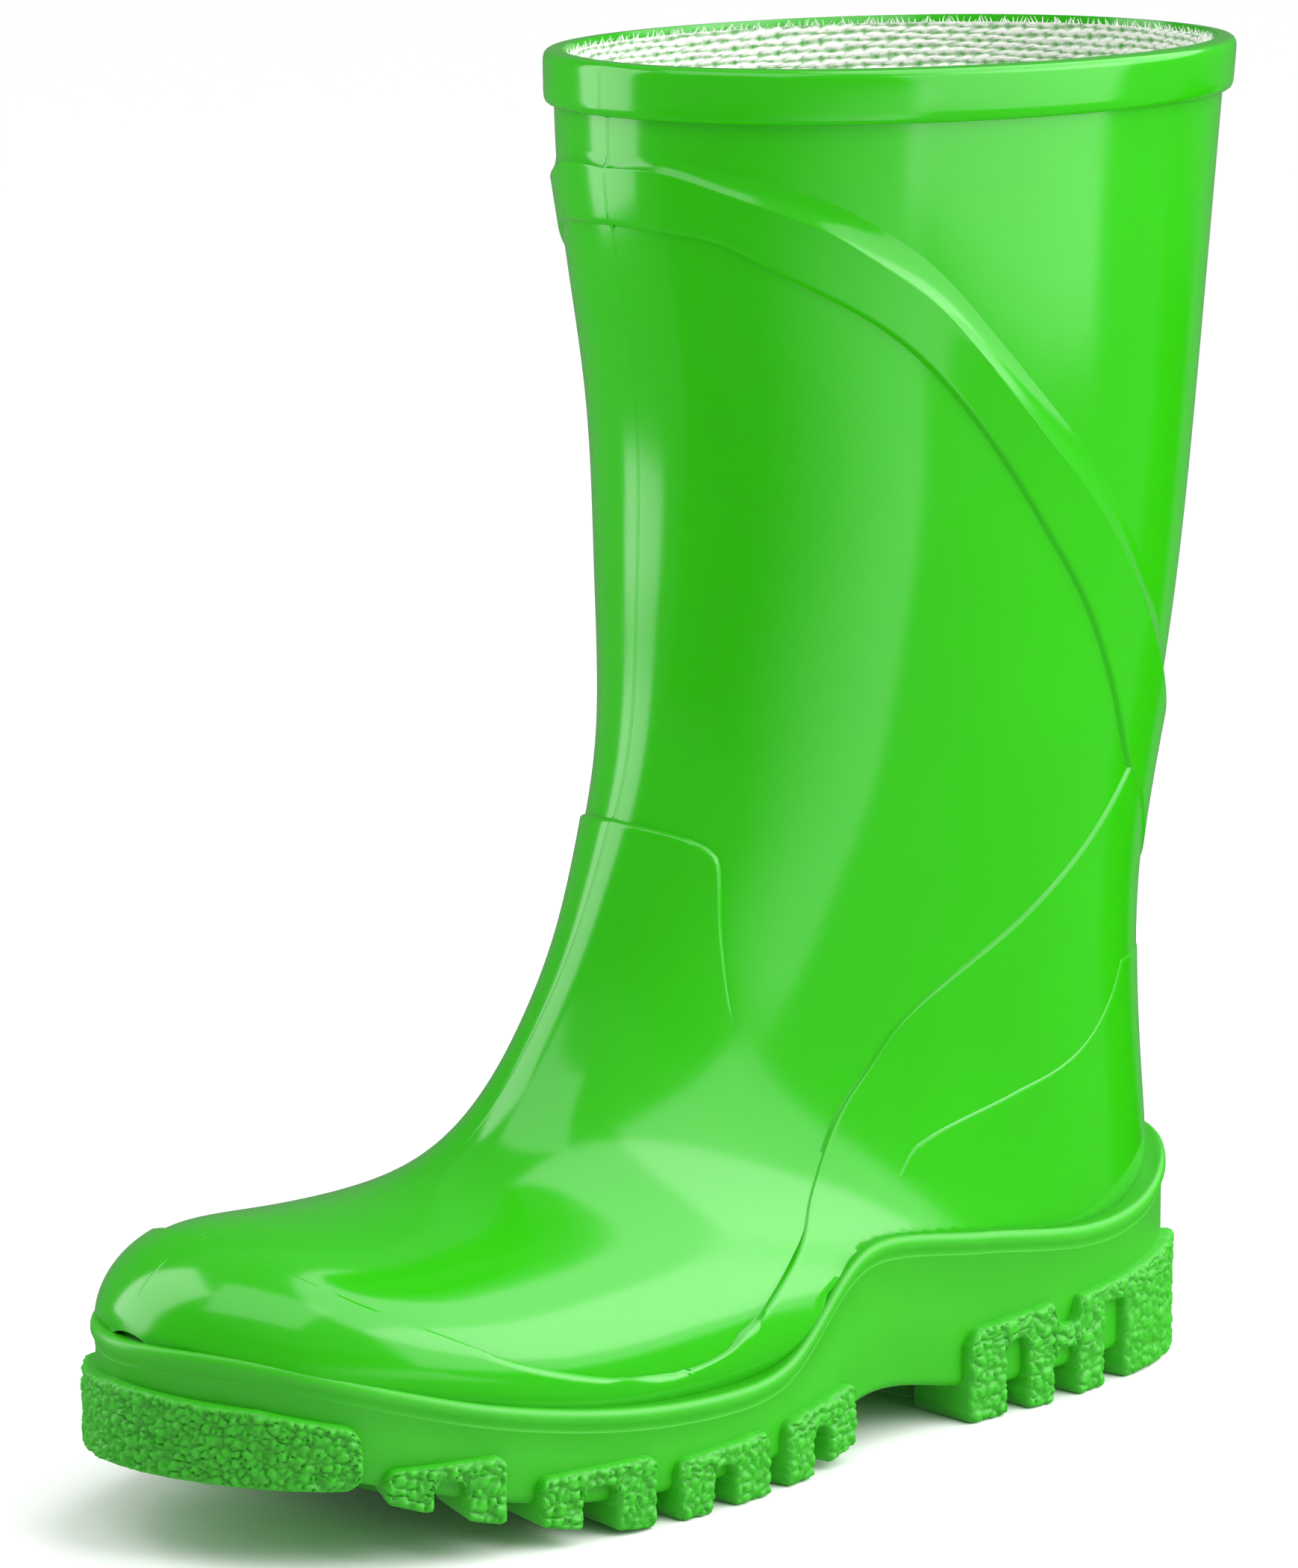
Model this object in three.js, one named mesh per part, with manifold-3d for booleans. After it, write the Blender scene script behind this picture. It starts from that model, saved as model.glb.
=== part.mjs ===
// A child's rain boot for the left foot: a soft PVC upper over a knitted lining, on a lugged outsole.
// Millimetres, +Z up. The toe points along -Y, the heel along +Y, and the outer (lateral) side is +X.
// The origin lies on the ground under the ball of the foot, in the plane of the mould's parting line.
import * as THREE from "three";
import { ParametricGeometry } from "three/addons/geometries/ParametricGeometry.js";
import { mergeVertices } from "three/addons/utils/BufferGeometryUtils.js";
import Module from "manifold-3d";

const wasm = await Module();
wasm.setup();

// ---- driving dimensions ----

const WALL = 2; // PVC wall of the upper
const GAP = 0.3; // left between pieces that touch
const LINING = 1.2; // knitted lining
const LINING_TOP = 0.08; // the lining starts this share of a ring below the rim
const INSOLE = 4;
const CUFF_PROUD = 1.8;
const CUFF_DEEP = 0.34; // in rings, 9.5 mm
const SWEEP_PROUD = 1.5;
const OVERLAY_PROUD = 1.3; // vamp, toe cap, quarters
const COUNTER_PROUD = 1.4;
const LIP_PROUD = 1; // bead along the top of the sole wall
const LUG_PROUD = 2; // lugs stand this far off the sole wall
const LUG_REACH = 12; // and run this far in under the sole
const AROUND = 32; // facets round the upper
const SHAFT_RINGS = 4; // the shaft has one row of facets for each station, the foot has two

// Stations of the upper, from the rim down the leg, round the heel and out to the toe. Each is a closed
// section in its own plane: it runs from a front point (y, z) on the instep to a back point (y, z) on
// the calf, heel or underside.
// [front y, front z, back y, back z, lateral half width, medial half width, where it is widest,
//  power of the front half, power of the back half] - a power of 2 is an ellipse, more is squarer.
const UPPER = [
  [-9.8, 240.5, 120, 240.5, 48, 48, 0.5, 2.1, 2.1],
  [-8.8, 212.5, 118, 211.5, 46, 46, 0.5, 2.1, 2.1],
  [-3.8, 181.5, 114.8, 175.5, 44, 44, 0.5, 2.1, 2.1],
  [-3.4, 151.5, 112.2, 142.5, 41, 41, 0.5, 2.05, 2.1],
  [-4.8, 125.5, 108, 111.5, 37.5, 37.5, 0.52, 2, 2.1],
  [-9.5, 107.5, 106, 83.5, 34, 34, 0.54, 2, 2.1],
  [-16.5, 90.5, 108.5, 55.5, 31.5, 31, 0.56, 2, 2.1],
  [-25.5, 75.5, 111, 31.5, 30.6, 29.5, 0.56, 2, 2.15],
  [-36, 62.5, 102, 14.5, 32.4, 29.5, 0.56, 2.05, 2.3],
  [-48, 54, 62, 14.5, 36.5, 31.5, 0.58, 2.1, 2.8],
  [-62, 51, 12, 13.5, 40, 34.5, 0.62, 2.1, 3],
  [-78, 51, -32, 10.5, 41.5, 36.5, 0.66, 2.1, 3.2],
  [-92, 51, -68, 14.5, 38, 33, 0.66, 2.2, 3.2],
  [-103, 48, -93, 19.5, 29.5, 25, 0.62, 2.1, 3],
  [-109.5, 42.5, -106, 25.5, 17, 14.5, 0.55, 2, 2.4],
  [-111.8, 37, -111.2, 32.5, 5.5, 5, 0.5, 2, 2],
];
const TOE = UPPER.length - 1;

// Stations of the sole from toe to heel:
// [y, lateral half width, medial half width, underside z, lip z]
const SOLE = [
  [-115, 0, 0, 18, 36.5],
  [-108.5, 18.5, 15.5, 17, 36.5],
  [-96, 31.5, 27, 15.5, 33.5],
  [-78, 40.2, 35, 11.3, 28.2],
  [-60, 44, 39, 7.2, 24],
  [-40, 45.5, 40, 5, 21],
  [-20, 44.5, 38.5, 4.5, 19.8],
  [-4, 41.5, 35.5, 4.8, 21.8],
  [8, 38.5, 33, 6.5, 30.5],
  [18, 36.2, 31.6, 9.3, 36.5],
  [30, 34.6, 31, 9, 36.6],
  [44, 33.8, 31.2, 6, 34.5],
  [52, 33.6, 31.3, 5, 33.5],
  [66, 33, 31.3, 5, 31.4],
  [80, 30.8, 30.2, 5, 30.2],
  [94, 26.8, 26.8, 5, 32],
  [107, 17.6, 17.6, 5.5, 36.5],
  [115, 0, 0, 6, 38.5],
];
const HEEL = SOLE.length - 1;

// The lugs' lower faces: level with the ground from ball to arch and under the heel, rising to the toe.
const TREAD = [
  [-118, 16],
  [-90, 12.3],
  [-75, 7.4],
  [-60, 3.8],
  [-47, 1],
  [-38, 0],
  [2, 0],
  [8, 2],
  [16, 3.5],
  [40, 0],
  [118, 0],
];

// Side lugs: [y of each leg's front and back, ...], top z, bridge's lower z.
const SIDE_LUGS = [
  { legs: [[-88, -80.3], [-75.3, -68]], top: 17.6, bridge: 14.6 },
  { legs: [[-62, -53.5], [-47, -38.4]], top: 12.6, bridge: 9.4 },
  { legs: [[-33.6, -25.4], [-20.8, -11.6]], top: 11.2, bridge: 8 },
  { legs: [[-7, 0.6], [5, 13.2]], top: 13, bridge: 8.3 },
];
const HEEL_LUG = { legs: [[43, 52.5], [57.5, 64.4], [70.4, 78.2], [84.5, 97]], top: 18, bridge: 13.6 };
const BUMPER = { end: -92.5, low: 14.2, top: [29.5, 26.5, 23.5] };

// Bars across the middle of the tread: [y of the centre, half length, width along y]
const FOREFOOT_BARS = [[-70, 21, 8], [-52, 24, 8], [-27, 24, 9], [1.5, 20, 9]];
const HEEL_BARS = [[51, 16, 9], [70, 15, 9], [88, 11, 8]];
const BAR_SWEEP = 4; // how far a bar's middle lies ahead of its ends
const BAR_DEPTH = 8; // before the sole is cut away

// ---- materials ----

const pvc = (color, roughness) => new THREE.MeshStandardMaterial({ color, roughness, metalness: 0 });
const GLOSS_GREEN = pvc(0x4fd834, 0.15);
const SATIN_GREEN = pvc(0x45cc2d, 0.45);
const ROUGH_GREEN = pvc(0x3fc028, 0.6);
const KNIT = pvc(0xdfe8dc, 0.95);
const FELT = pvc(0xc9cfc6, 0.95);

// ---- curves ----

// Value of a column of a station table between stations, by a uniform Catmull-Rom curve.
function along(table, column, place) {
  const last = table.length - 1;
  const x = Math.min(Math.max(place, 0), last);
  const i = Math.min(Math.floor(x), last - 1);
  const f = x - i;
  const b = table[i][column];
  const c = table[i + 1][column];
  const a = i > 0 ? table[i - 1][column] : 2 * b - c;
  const d = i + 2 <= last ? table[i + 2][column] : 2 * c - b;
  return b + 0.5 * f * (c - a + f * (2 * a - 5 * b + 4 * c - d + f * (3 * (b - c) + d - a)));
}

// Straight-line lookup of y in pairs [x, y].
function lookup(pairs, x) {
  const next = pairs.findIndex((p) => p[0] > x);
  const i = next < 0 ? pairs.length - 1 : Math.max(next, 1);
  const [a, b] = [pairs[i - 1], pairs[i]];
  return THREE.MathUtils.lerp(a[1], b[1], THREE.MathUtils.clamp((x - a[0]) / (b[0] - a[0]), 0, 1));
}

// ---- the upper's surface ----

// Point on the upper at a ring place (0 rim to TOE) and an angle round it (0 instep, 90 lateral side,
// 180 calf or underside, in degrees).
function upperPoint(ring, degrees) {
  const [fy, fz, by, bz, lateral, medial, widest, front, back] = UPPER[0].map((_, k) => along(UPPER, k, ring));
  const a = Math.cos(THREE.MathUtils.degToRad(degrees));
  const b = Math.sin(THREE.MathUtils.degToRad(degrees));
  const power = 2 / (a >= 0 ? front : back);
  const reach = Math.abs(a) ** power;
  const share = a >= 0 ? widest * (1 - reach) : widest + (1 - widest) * reach;
  const x = Math.sign(b) * (b >= 0 ? lateral : medial) * Math.abs(b) ** power;
  return new THREE.Vector3(x, fy + (by - fy) * share, fz + (bz - fz) * share);
}

function upperNormal(ring, degrees) {
  const ahead = Math.min(ring + 0.02, TOE);
  const alongRings = upperPoint(ahead, degrees).sub(upperPoint(ahead - 0.04, degrees));
  const round = upperPoint(ring, degrees + 0.5).sub(upperPoint(ring, degrees - 0.5));
  return round.cross(alongRings).normalize().negate();
}

const offsetPoint = (ring, degrees, out) =>
  upperPoint(ring, degrees).addScaledVector(upperNormal(ring, degrees), out);

// ---- closed solids from grids of points ----

// Grid of points as a manifold solid; rows or columns that share their place are merged.
function solidOfGrid(point, columns, rows) {
  const grid = new ParametricGeometry(
    (u, v, target) => target.copy(point(Math.round(u * columns), Math.round(v * rows))),
    columns,
    rows,
  );
  return solidOf(grid);
}

function solidOf(geometry) {
  geometry.deleteAttribute("normal");
  geometry.deleteAttribute("uv");
  const merged = mergeVertices(geometry, 1e-4);
  const corners = merged.index.array;
  const kept = [];
  for (let i = 0; i < corners.length; i += 3) {
    const [a, b, c] = corners.slice(i, i + 3);
    if (a !== b && b !== c && c !== a) kept.push(a, b, c);
  }
  const make = (triVerts) =>
    new wasm.Manifold(
      new wasm.Mesh({
        numProp: 3,
        vertProperties: merged.attributes.position.array,
        triVerts: new Uint32Array(triVerts),
      }),
    );
  const solid = make(kept);
  return solid.volume() < 0 ? make(kept.reverse()) : solid;
}

const middle = (points) =>
  points.reduce((sum, p) => sum.add(p), new THREE.Vector3()).divideScalar(points.length);

// Solid swept through loops of points, one loop for each row, with flat ends.
function sweep(rows, corners, loopPoint) {
  const loops = [...Array(rows + 1).keys()].map((row) =>
    [...Array(corners).keys()].map((corner) => loopPoint(row / rows, corner)),
  );
  const ends = [middle(loops[0]), middle(loops[rows])];
  return solidOfGrid(
    (column, row) =>
      row === 0 ? ends[0] : row === rows + 2 ? ends[1] : loops[row - 1][column % corners],
    corners,
    rows + 2,
  );
}

// ---- the upper and what lies on it ----

// Everything inside the upper's surface moved out by `out`, from ring `start` to the toe. `rise` lifts a
// neck above the rim, for cutting.
function filledUpper(out, start = 0, rise = 0) {
  const rings = 2 * TOE - SHAFT_RINGS;
  const places = [...Array(rings + 1).keys()].map((k) =>
    Math.max(k < SHAFT_RINGS ? k : SHAFT_RINGS + (k - SHAFT_RINGS) / 2, start),
  );
  const neck = (degrees) => {
    const p = offsetPoint(start, degrees, out);
    p.z = upperPoint(start, degrees).z + rise;
    return p;
  };
  const rim = new THREE.Vector3(0, (UPPER[0][0] + UPPER[0][2]) / 2, neck(0).z);
  const tip = offsetPoint(TOE, 0, out).add(offsetPoint(TOE, 180, out)).multiplyScalar(0.5);
  const point = (column, row) => {
    const degrees = ((column % AROUND) * 360) / AROUND;
    if (row === 0) return rim;
    if (row === 1) return neck(degrees);
    if (row === rings + 3) return tip;
    const level = offsetPoint(places[row - 2], degrees, out);
    if (places[row - 2] <= start) level.z = upperPoint(start, degrees).z;
    return level;
  };
  return solidOfGrid(point, AROUND, rings + 3);
}

const underlay = filledUpper(GAP, 0, 3);

// What is left of a solid above the upper, without the slivers that its facets leave.
const laidOn = (solid) => solid.subtract(underlay).decompose().sort((a, b) => b.volume() - a.volume())[0];

// Block of a patch over the upper from ring `from` to `to`. edge(ring) gives its two angles.
function patch(from, to, rows, columns, proud, edge) {
  const sunk = -0.8;
  const point = (column, row) => {
    const place = THREE.MathUtils.clamp((row - 1) / rows, 0, 1);
    const ring = THREE.MathUtils.lerp(from, to, place);
    const [low, high] = edge(ring);
    const outer = column <= columns;
    const share = outer ? column / columns : (2 * columns + 1 - column) / columns;
    const out = row === 0 || row === rows + 2 ? (sunk + proud) / 2 : outer ? proud : sunk;
    return offsetPoint(ring, THREE.MathUtils.lerp(low, high, THREE.MathUtils.clamp(share, 0, 1)), out);
  };
  const loops = 2 * columns + 2;
  return solidOfGrid((column, row) => point(column % loops, row), loops, rows + 2);
}

// A band laid round the upper. edge(degrees) gives the rings of its upper and lower edge.
function band(columns, proud, edge) {
  const sunk = -0.8;
  const corner = [
    [0, sunk],
    [0, proud],
    [1, proud],
    [1, sunk],
  ];
  const point = (column, row) => {
    const degrees = ((row % columns) * 360) / columns;
    const [top, low] = edge(degrees);
    const [side, out] = corner[column % 4];
    return offsetPoint(side ? low : top, degrees, out);
  };
  return laidOn(solidOfGrid(point, 4, columns));
}

function upperShell() {
  return filledUpper(0).subtract(filledUpper(-WALL, 0, 3));
}

function knitLining() {
  const outside = WALL + GAP;
  return filledUpper(-outside, LINING_TOP).subtract(filledUpper(-outside - LINING, LINING_TOP, 3));
}

// The insole lies on the lining's floor: a sheet of even height, cut to a foot-shaped outline.
function insole() {
  const inside = -(WALL + LINING + 2 * GAP);
  const margin = 10; // clear of the lining as it lifts
  const outline = new THREE.Shape();
  const side = (sign) =>
    SOLE.slice(1, HEEL).map(([y, lateral, medial]) =>
      new THREE.Vector2(sign * ((sign > 0 ? lateral : medial) - margin), y * 0.92),
    );
  outline.setFromPoints([...side(1), ...side(-1).reverse()]);
  const block = new THREE.ExtrudeGeometry(outline, { depth: 40, bevelEnabled: false });
  const cavity = filledUpper(inside, 3);
  const above = filledUpper(inside, 3).translate([0, 0, INSOLE]);
  return solidOf(block).intersect(cavity).subtract(above);
}

// Angles of the feature edges, as [ring, degrees] from the instep round to the underside.
const GALOSH_EDGE = [
  [4.1, 121],
  [4.7, 106],
  [5.4, 87],
  [6.05, 73],
  [6.6, 68],
  [7.2, 65],
  [7.9, 66],
  [8.4, 70],
  [9, 77],
  [9.5, 84],
  [10.2, 93],
];
const TOE_EDGE = [
  [0, 12.45],
  [16, 12.38],
  [32, 12.25],
  [47, 12.02],
  [58, 11.72],
  [68, 11.43],
  [74, 11.28],
  [82, 10.98],
  [88, 10.73],
  [92, 10.3],
];
const SHIELD_EDGE = [
  [4.85, 24],
  [5.15, 33],
  [5.65, 37],
  [6.4, 44],
  [6.8, 50],
  [7.1, 56],
  [7.35, 62],
];
const COUNTER_EDGE = [
  [5.4, 128],
  [5.65, 123],
  [6.05, 112],
  [6.35, 101],
  [6.6, 92],
  [7.1, 80],
  [7.5, 77],
  [8.05, 76],
];
const SWEEP_TOP = [
  [0, 0.65],
  [14, 0.65],
  [27, 0.75],
  [43, 0.92],
  [53, 1.1],
  [63, 1.32],
  [71, 1.57],
  [82, 1.95],
  [98, 2.47],
  [114, 3],
  [129, 3.45],
  [150, 3.85],
  [180, 4.05],
];
const SWEEP_LOW = [
  [0, 1],
  [16, 1.02],
  [26, 1.07],
  [37, 1.22],
  [47, 1.37],
  [62, 1.68],
  [80, 2.3],
  [92, 2.78],
  [102, 3.2],
  [114, 3.78],
  [121, 4.06],
  [135, 4.5],
  [155, 4.8],
  [180, 4.9],
];
const EDGE_GAP = 1; // degrees between two overlays that meet

const half = (degrees) => (degrees > 180 ? 360 - degrees : degrees);

const cuffBand = () => band(AROUND, CUFF_PROUD, () => [0, CUFF_DEEP]);

const sweepBand = () =>
  band(48, SWEEP_PROUD, (degrees) => [lookup(SWEEP_TOP, half(degrees)), lookup(SWEEP_LOW, half(degrees))]);

// The vamp panel covers the instep from the front of the ankle to the toe cap and the galosh edge.
function vampPanel() {
  const toeRing = [...TOE_EDGE].reverse().map(([degrees, ring]) => [ring, degrees]);
  const block = patch(4.85, 12.35, 16, 10, OVERLAY_PROUD, (ring) => {
    const galosh = ring < 10.2 ? lookup(GALOSH_EDGE, ring) : lookup(toeRing, ring);
    const side = Math.min(ring < 7.35 ? lookup(SHIELD_EDGE, ring) : 180, galosh - EDGE_GAP);
    return [-side, side];
  });
  return laidOn(block);
}

// The toe cap runs from one side of the ball over the toes to the other, and down into the sole.
function toeCap() {
  const columns = 18;
  const rows = 5;
  const reach = 92;
  const sunk = -0.8;
  const loops = 2 * rows + 2;
  const point = (column, row) => {
    const degrees = THREE.MathUtils.clamp((2 * (row - 1)) / columns - 1, -1, 1) * reach;
    const outer = column % loops <= rows;
    const share = outer ? (column % loops) / rows : (loops - 1 - (column % loops)) / rows;
    const ring = THREE.MathUtils.lerp(lookup(TOE_EDGE, Math.abs(degrees)) + 0.06, TOE - 0.2, share);
    const out = row === 0 || row === columns + 2 ? (sunk + OVERLAY_PROUD) / 2 : outer ? OVERLAY_PROUD : sunk;
    return offsetPoint(ring, degrees, out);
  };
  return laidOn(solidOfGrid(point, loops, columns + 2));
}

// The heel counter wraps the heel from side to side. `room` grows it, to cut its neighbours.
function heelCounterBlock(room) {
  return patch(5.5 - room / 10, 8 + room / 10, 5, 14, COUNTER_PROUD + room, (ring) => {
    const start = lookup(COUNTER_EDGE, ring) - 2 * room;
    return [start, 360 - start];
  });
}

const heelCounter = () => laidOn(heelCounterBlock(0));

// A quarter runs from the sweep band's lower edge at the back of the ankle forward along the sole.
function quarter(side) {
  const hidden = 135;
  const block = patch(5, 10, 10, 7, OVERLAY_PROUD, (ring) => {
    const start = lookup(GALOSH_EDGE, ring) + EDGE_GAP;
    const counter = lookup(COUNTER_EDGE, ring) + EDGE_GAP;
    const end = ring < 5.4 ? 179 : ring < 8.05 ? counter : hidden;
    return side > 0 ? [start, end] : [-end, -start];
  });
  return laidOn(block.subtract(heelCounterBlock(GAP)));
}

// ---- the sole ----

const soleCurve = new THREE.CatmullRomCurve3(
  [
    ...SOLE.map(([y, lateral]) => new THREE.Vector3(lateral, y, 0)),
    ...SOLE.slice(1, HEEL)
      .reverse()
      .map(([y, , medial]) => new THREE.Vector3(-medial, y, 0)),
  ],
  true,
  "catmullrom",
  0.5,
);

// Point on the sole's outline moved out by `out`, at a station place: 0 toe, HEEL heel, on to 2 HEEL
// back at the toe along the medial side.
function solePoint(place, out, z) {
  const u = place / (2 * HEEL);
  const p = soleCurve.getPoint(u - Math.floor(u));
  const t = soleCurve.getTangent(u - Math.floor(u));
  return new THREE.Vector3(p.x + t.y * out, p.y - t.x * out, z);
}

const station = (place) => (place > HEEL ? 2 * HEEL - place : place);
const underside = (place) => along(SOLE, 3, station(place));
const lip = (place) => along(SOLE, 4, station(place));
const treadLevel = (y) => lookup(TREAD, y);

// The sole as a full block, grown by `grow` all round; the upper is cut out of it afterwards.
function soleBlock(grow, bead = 0) {
  const perStation = 2;
  const columns = 2 * HEEL * perStation;
  const levels = [
    (place) => [-1.5 + grow, underside(place) - grow],
    (place) => [grow, underside(place) + 1.5 - grow],
    (place) => [grow, lip(place) - 3],
    (place) => [grow + bead, lip(place) - 2 + grow],
    (place) => [grow + bead, lip(place) + grow],
  ];
  const inward = -6; // keeps the middle line's ends inside the toe and the heel
  const spine = (place, z) => {
    const twin = solePoint(2 * HEEL - place, inward, z);
    return solePoint(place, inward, z).add(twin).multiplyScalar(0.5);
  };
  const point = (column, row) => {
    const place = (column % columns) / perStation;
    if (row === 0) return spine(place, underside(place) - grow);
    if (row === levels.length + 1) return spine(place, lip(place) + grow);
    return solePoint(place, ...levels[row - 1](place));
  };
  return solidOfGrid(point, columns, levels.length + 1);
}

const lugLimit = soleBlock(GAP + 0.1);

const outsole = () =>
  soleBlock(0, LIP_PROUD).subtract(filledUpper(OVERLAY_PROUD + 2 * GAP, 4)).subtract(heelCounterBlock(2 * GAP));

// Station place where the outline passes y, on the lateral side.
function placeAt(y) {
  let [low, high] = [0, HEEL];
  for (let i = 0; i < 30; i++) {
    const mid = (low + high) / 2;
    if (solePoint(mid, 0, 0).y < y) low = mid;
    else high = mid;
  }
  return low;
}

// Piece of a lug on the sole wall between two y values: it reaches out by LUG_PROUD, in by `reach`, and
// from bottom(y) up to `top`.
function lugPiece(from, to, side, reach, bottom, top) {
  const [start, end] = [placeAt(from), placeAt(to)];
  const corners = [
    [LUG_PROUD - 0.6, 1, 0],
    [LUG_PROUD, 1, -1],
    [LUG_PROUD, 0, 1],
    [LUG_PROUD - 1, 0, 0],
    [-reach, 0, 0],
    [-reach, 1, 0],
  ];
  const rows = Math.ceil((end - start) * 2);
  return sweep(rows, corners.length, (share, corner) => {
    const lateral = THREE.MathUtils.lerp(start, end, share);
    const place = side > 0 ? lateral : 2 * HEEL - lateral;
    const [out, atTop, shift] = corners[corner];
    const y = solePoint(lateral, 0, 0).y;
    return solePoint(place, out, (atTop ? top : bottom(y)) + shift);
  });
}

// A side lug: legs that run in under the sole, joined by a bridge on the sole wall.
function sideLug({ legs, top, bridge }, side) {
  const ends = [legs[0][0], legs[legs.length - 1][1]];
  const parts = legs.map(([from, to]) => lugPiece(from, to, side, LUG_REACH, treadLevel, top));
  const bar = lugPiece(...ends, side, 1, () => bridge, top);
  return parts.reduce((sum, leg) => sum.add(leg), bar).subtract(lugLimit);
}

// The bumper wraps the toe from side to side.
function toeBumper() {
  const reach = placeAt(BUMPER.end);
  const corner = [
    [LUG_PROUD - 0.6, 1, 0],
    [LUG_PROUD, 1, -1],
    [LUG_PROUD, 0, 2],
    [-2, 0, 0],
    [-8, 0, 0],
    [-8, 1, 0],
  ];
  const rows = 12;
  return sweep(rows, corner.length, (share, k) => {
    const place = THREE.MathUtils.lerp(-reach, reach, share);
    const turn = Math.abs(2 * share - 1);
    const [out, atTop, shift] = corner[k];
    const [front, side, end] = BUMPER.top;
    const top = turn < 0.6 ? THREE.MathUtils.lerp(front, side, turn / 0.6) : side - ((side - end) * (turn - 0.6)) / 0.4;
    return solePoint(place, out, (atTop ? top : BUMPER.low + 1.5 * (1 - turn)) + shift);
  }).subtract(lugLimit);
}

// A bar of the tread: a shallow chevron, pointing to the toe.
function treadBar([y, length, width]) {
  const shape = new THREE.Shape([
    new THREE.Vector2(-length, y + width / 2),
    new THREE.Vector2(-length, y - width / 2),
    new THREE.Vector2(0, y - width / 2 - BAR_SWEEP),
    new THREE.Vector2(length, y - width / 2),
    new THREE.Vector2(length, y + width / 2),
    new THREE.Vector2(0, y + width / 2 - BAR_SWEEP),
  ]);
  const bottom = treadLevel(y);
  const bar = new THREE.ExtrudeGeometry(shape, { depth: BAR_DEPTH, bevelEnabled: false });
  bar.translate(0, 0, bottom);
  return solidOf(bar).subtract(lugLimit);
}

// ---- the boot ----

const boot = new THREE.Group();

function addPiece(name, solid, material) {
  const { numProp, vertProperties, triVerts } = solid.getMesh();
  const positions = new Float32Array((vertProperties.length / numProp) * 3);
  for (let i = 0; i < positions.length / 3; i++)
    positions.set(vertProperties.subarray(i * numProp, i * numProp + 3), i * 3);
  const geometry = new THREE.BufferGeometry();
  geometry.setAttribute("position", new THREE.BufferAttribute(positions, 3));
  geometry.setIndex(new THREE.BufferAttribute(triVerts, 1));
  geometry.computeVertexNormals();
  const mesh = new THREE.Mesh(geometry, material);
  mesh.name = name;
  boot.add(mesh);
}

addPiece("upper_shell", upperShell(), GLOSS_GREEN);
addPiece("knit_lining", knitLining(), KNIT);
addPiece("insole", insole(), FELT);
addPiece("cuff_band", cuffBand(), GLOSS_GREEN);
addPiece("sweep_band", sweepBand(), GLOSS_GREEN);
addPiece("vamp_panel", vampPanel(), GLOSS_GREEN);
addPiece("toe_cap", toeCap(), GLOSS_GREEN);
addPiece("lateral_quarter", quarter(1), GLOSS_GREEN);
addPiece("medial_quarter", quarter(-1), GLOSS_GREEN);
addPiece("heel_counter", heelCounter(), GLOSS_GREEN);
addPiece("outsole", outsole(), SATIN_GREEN);
addPiece("toe_bumper", toeBumper(), ROUGH_GREEN);
SIDE_LUGS.forEach((lug, i) => {
  addPiece(`lateral_lug_${i + 1}`, sideLug(lug, 1), ROUGH_GREEN);
  addPiece(`medial_lug_${i + 1}`, sideLug(lug, -1), ROUGH_GREEN);
});
addPiece("lateral_heel_lug", sideLug(HEEL_LUG, 1), ROUGH_GREEN);
addPiece("medial_heel_lug", sideLug(HEEL_LUG, -1), ROUGH_GREEN);
FOREFOOT_BARS.forEach((bar, i) => addPiece(`forefoot_bar_${i + 1}`, treadBar(bar), SATIN_GREEN));
HEEL_BARS.forEach((bar, i) => addPiece(`heel_bar_${i + 1}`, treadBar(bar), SATIN_GREEN));

export default boot;
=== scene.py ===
"""Looks of a child's rain boot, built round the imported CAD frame. Run as a script inside Blender."""

import math

import bmesh
import bpy
import numpy as np
from bpy.props import FloatProperty, FloatVectorProperty, PointerProperty
from bpy.types import Operator, Panel, PropertyGroup
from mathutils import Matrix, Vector, bvhtree, kdtree, noise


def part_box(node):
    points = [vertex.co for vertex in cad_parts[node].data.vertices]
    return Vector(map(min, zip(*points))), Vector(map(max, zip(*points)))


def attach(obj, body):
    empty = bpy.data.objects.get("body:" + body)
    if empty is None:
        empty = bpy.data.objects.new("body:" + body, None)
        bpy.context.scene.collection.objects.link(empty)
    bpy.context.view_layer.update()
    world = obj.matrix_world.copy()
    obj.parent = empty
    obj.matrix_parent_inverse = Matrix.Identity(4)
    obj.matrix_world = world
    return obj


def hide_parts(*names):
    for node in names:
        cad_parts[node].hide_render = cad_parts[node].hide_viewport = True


bl_info = {
    "name": "Rain Boot",
    "version": (1, 0, 0),
    "blender": (4, 5, 0),
    "location": "3D View > Sidebar > Rain Boot",
    "description": "Models a moulded child's rain boot with a knitted lining and a lugged sole",
    "category": "Add Mesh",
}

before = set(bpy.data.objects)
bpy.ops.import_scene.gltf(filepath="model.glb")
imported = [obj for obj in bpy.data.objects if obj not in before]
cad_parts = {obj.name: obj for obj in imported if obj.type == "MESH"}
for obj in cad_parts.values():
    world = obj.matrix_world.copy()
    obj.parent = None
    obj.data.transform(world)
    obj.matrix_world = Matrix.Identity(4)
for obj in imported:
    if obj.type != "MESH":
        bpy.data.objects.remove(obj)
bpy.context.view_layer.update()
BODY = "boot"
MM = 0.001
noise.seed_set(1)  # so that the pebbled grain is the same in each run

# ---- the boot's form, in millimetres: toe along -Y, heel along +Y, outer side along +X ----

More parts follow.
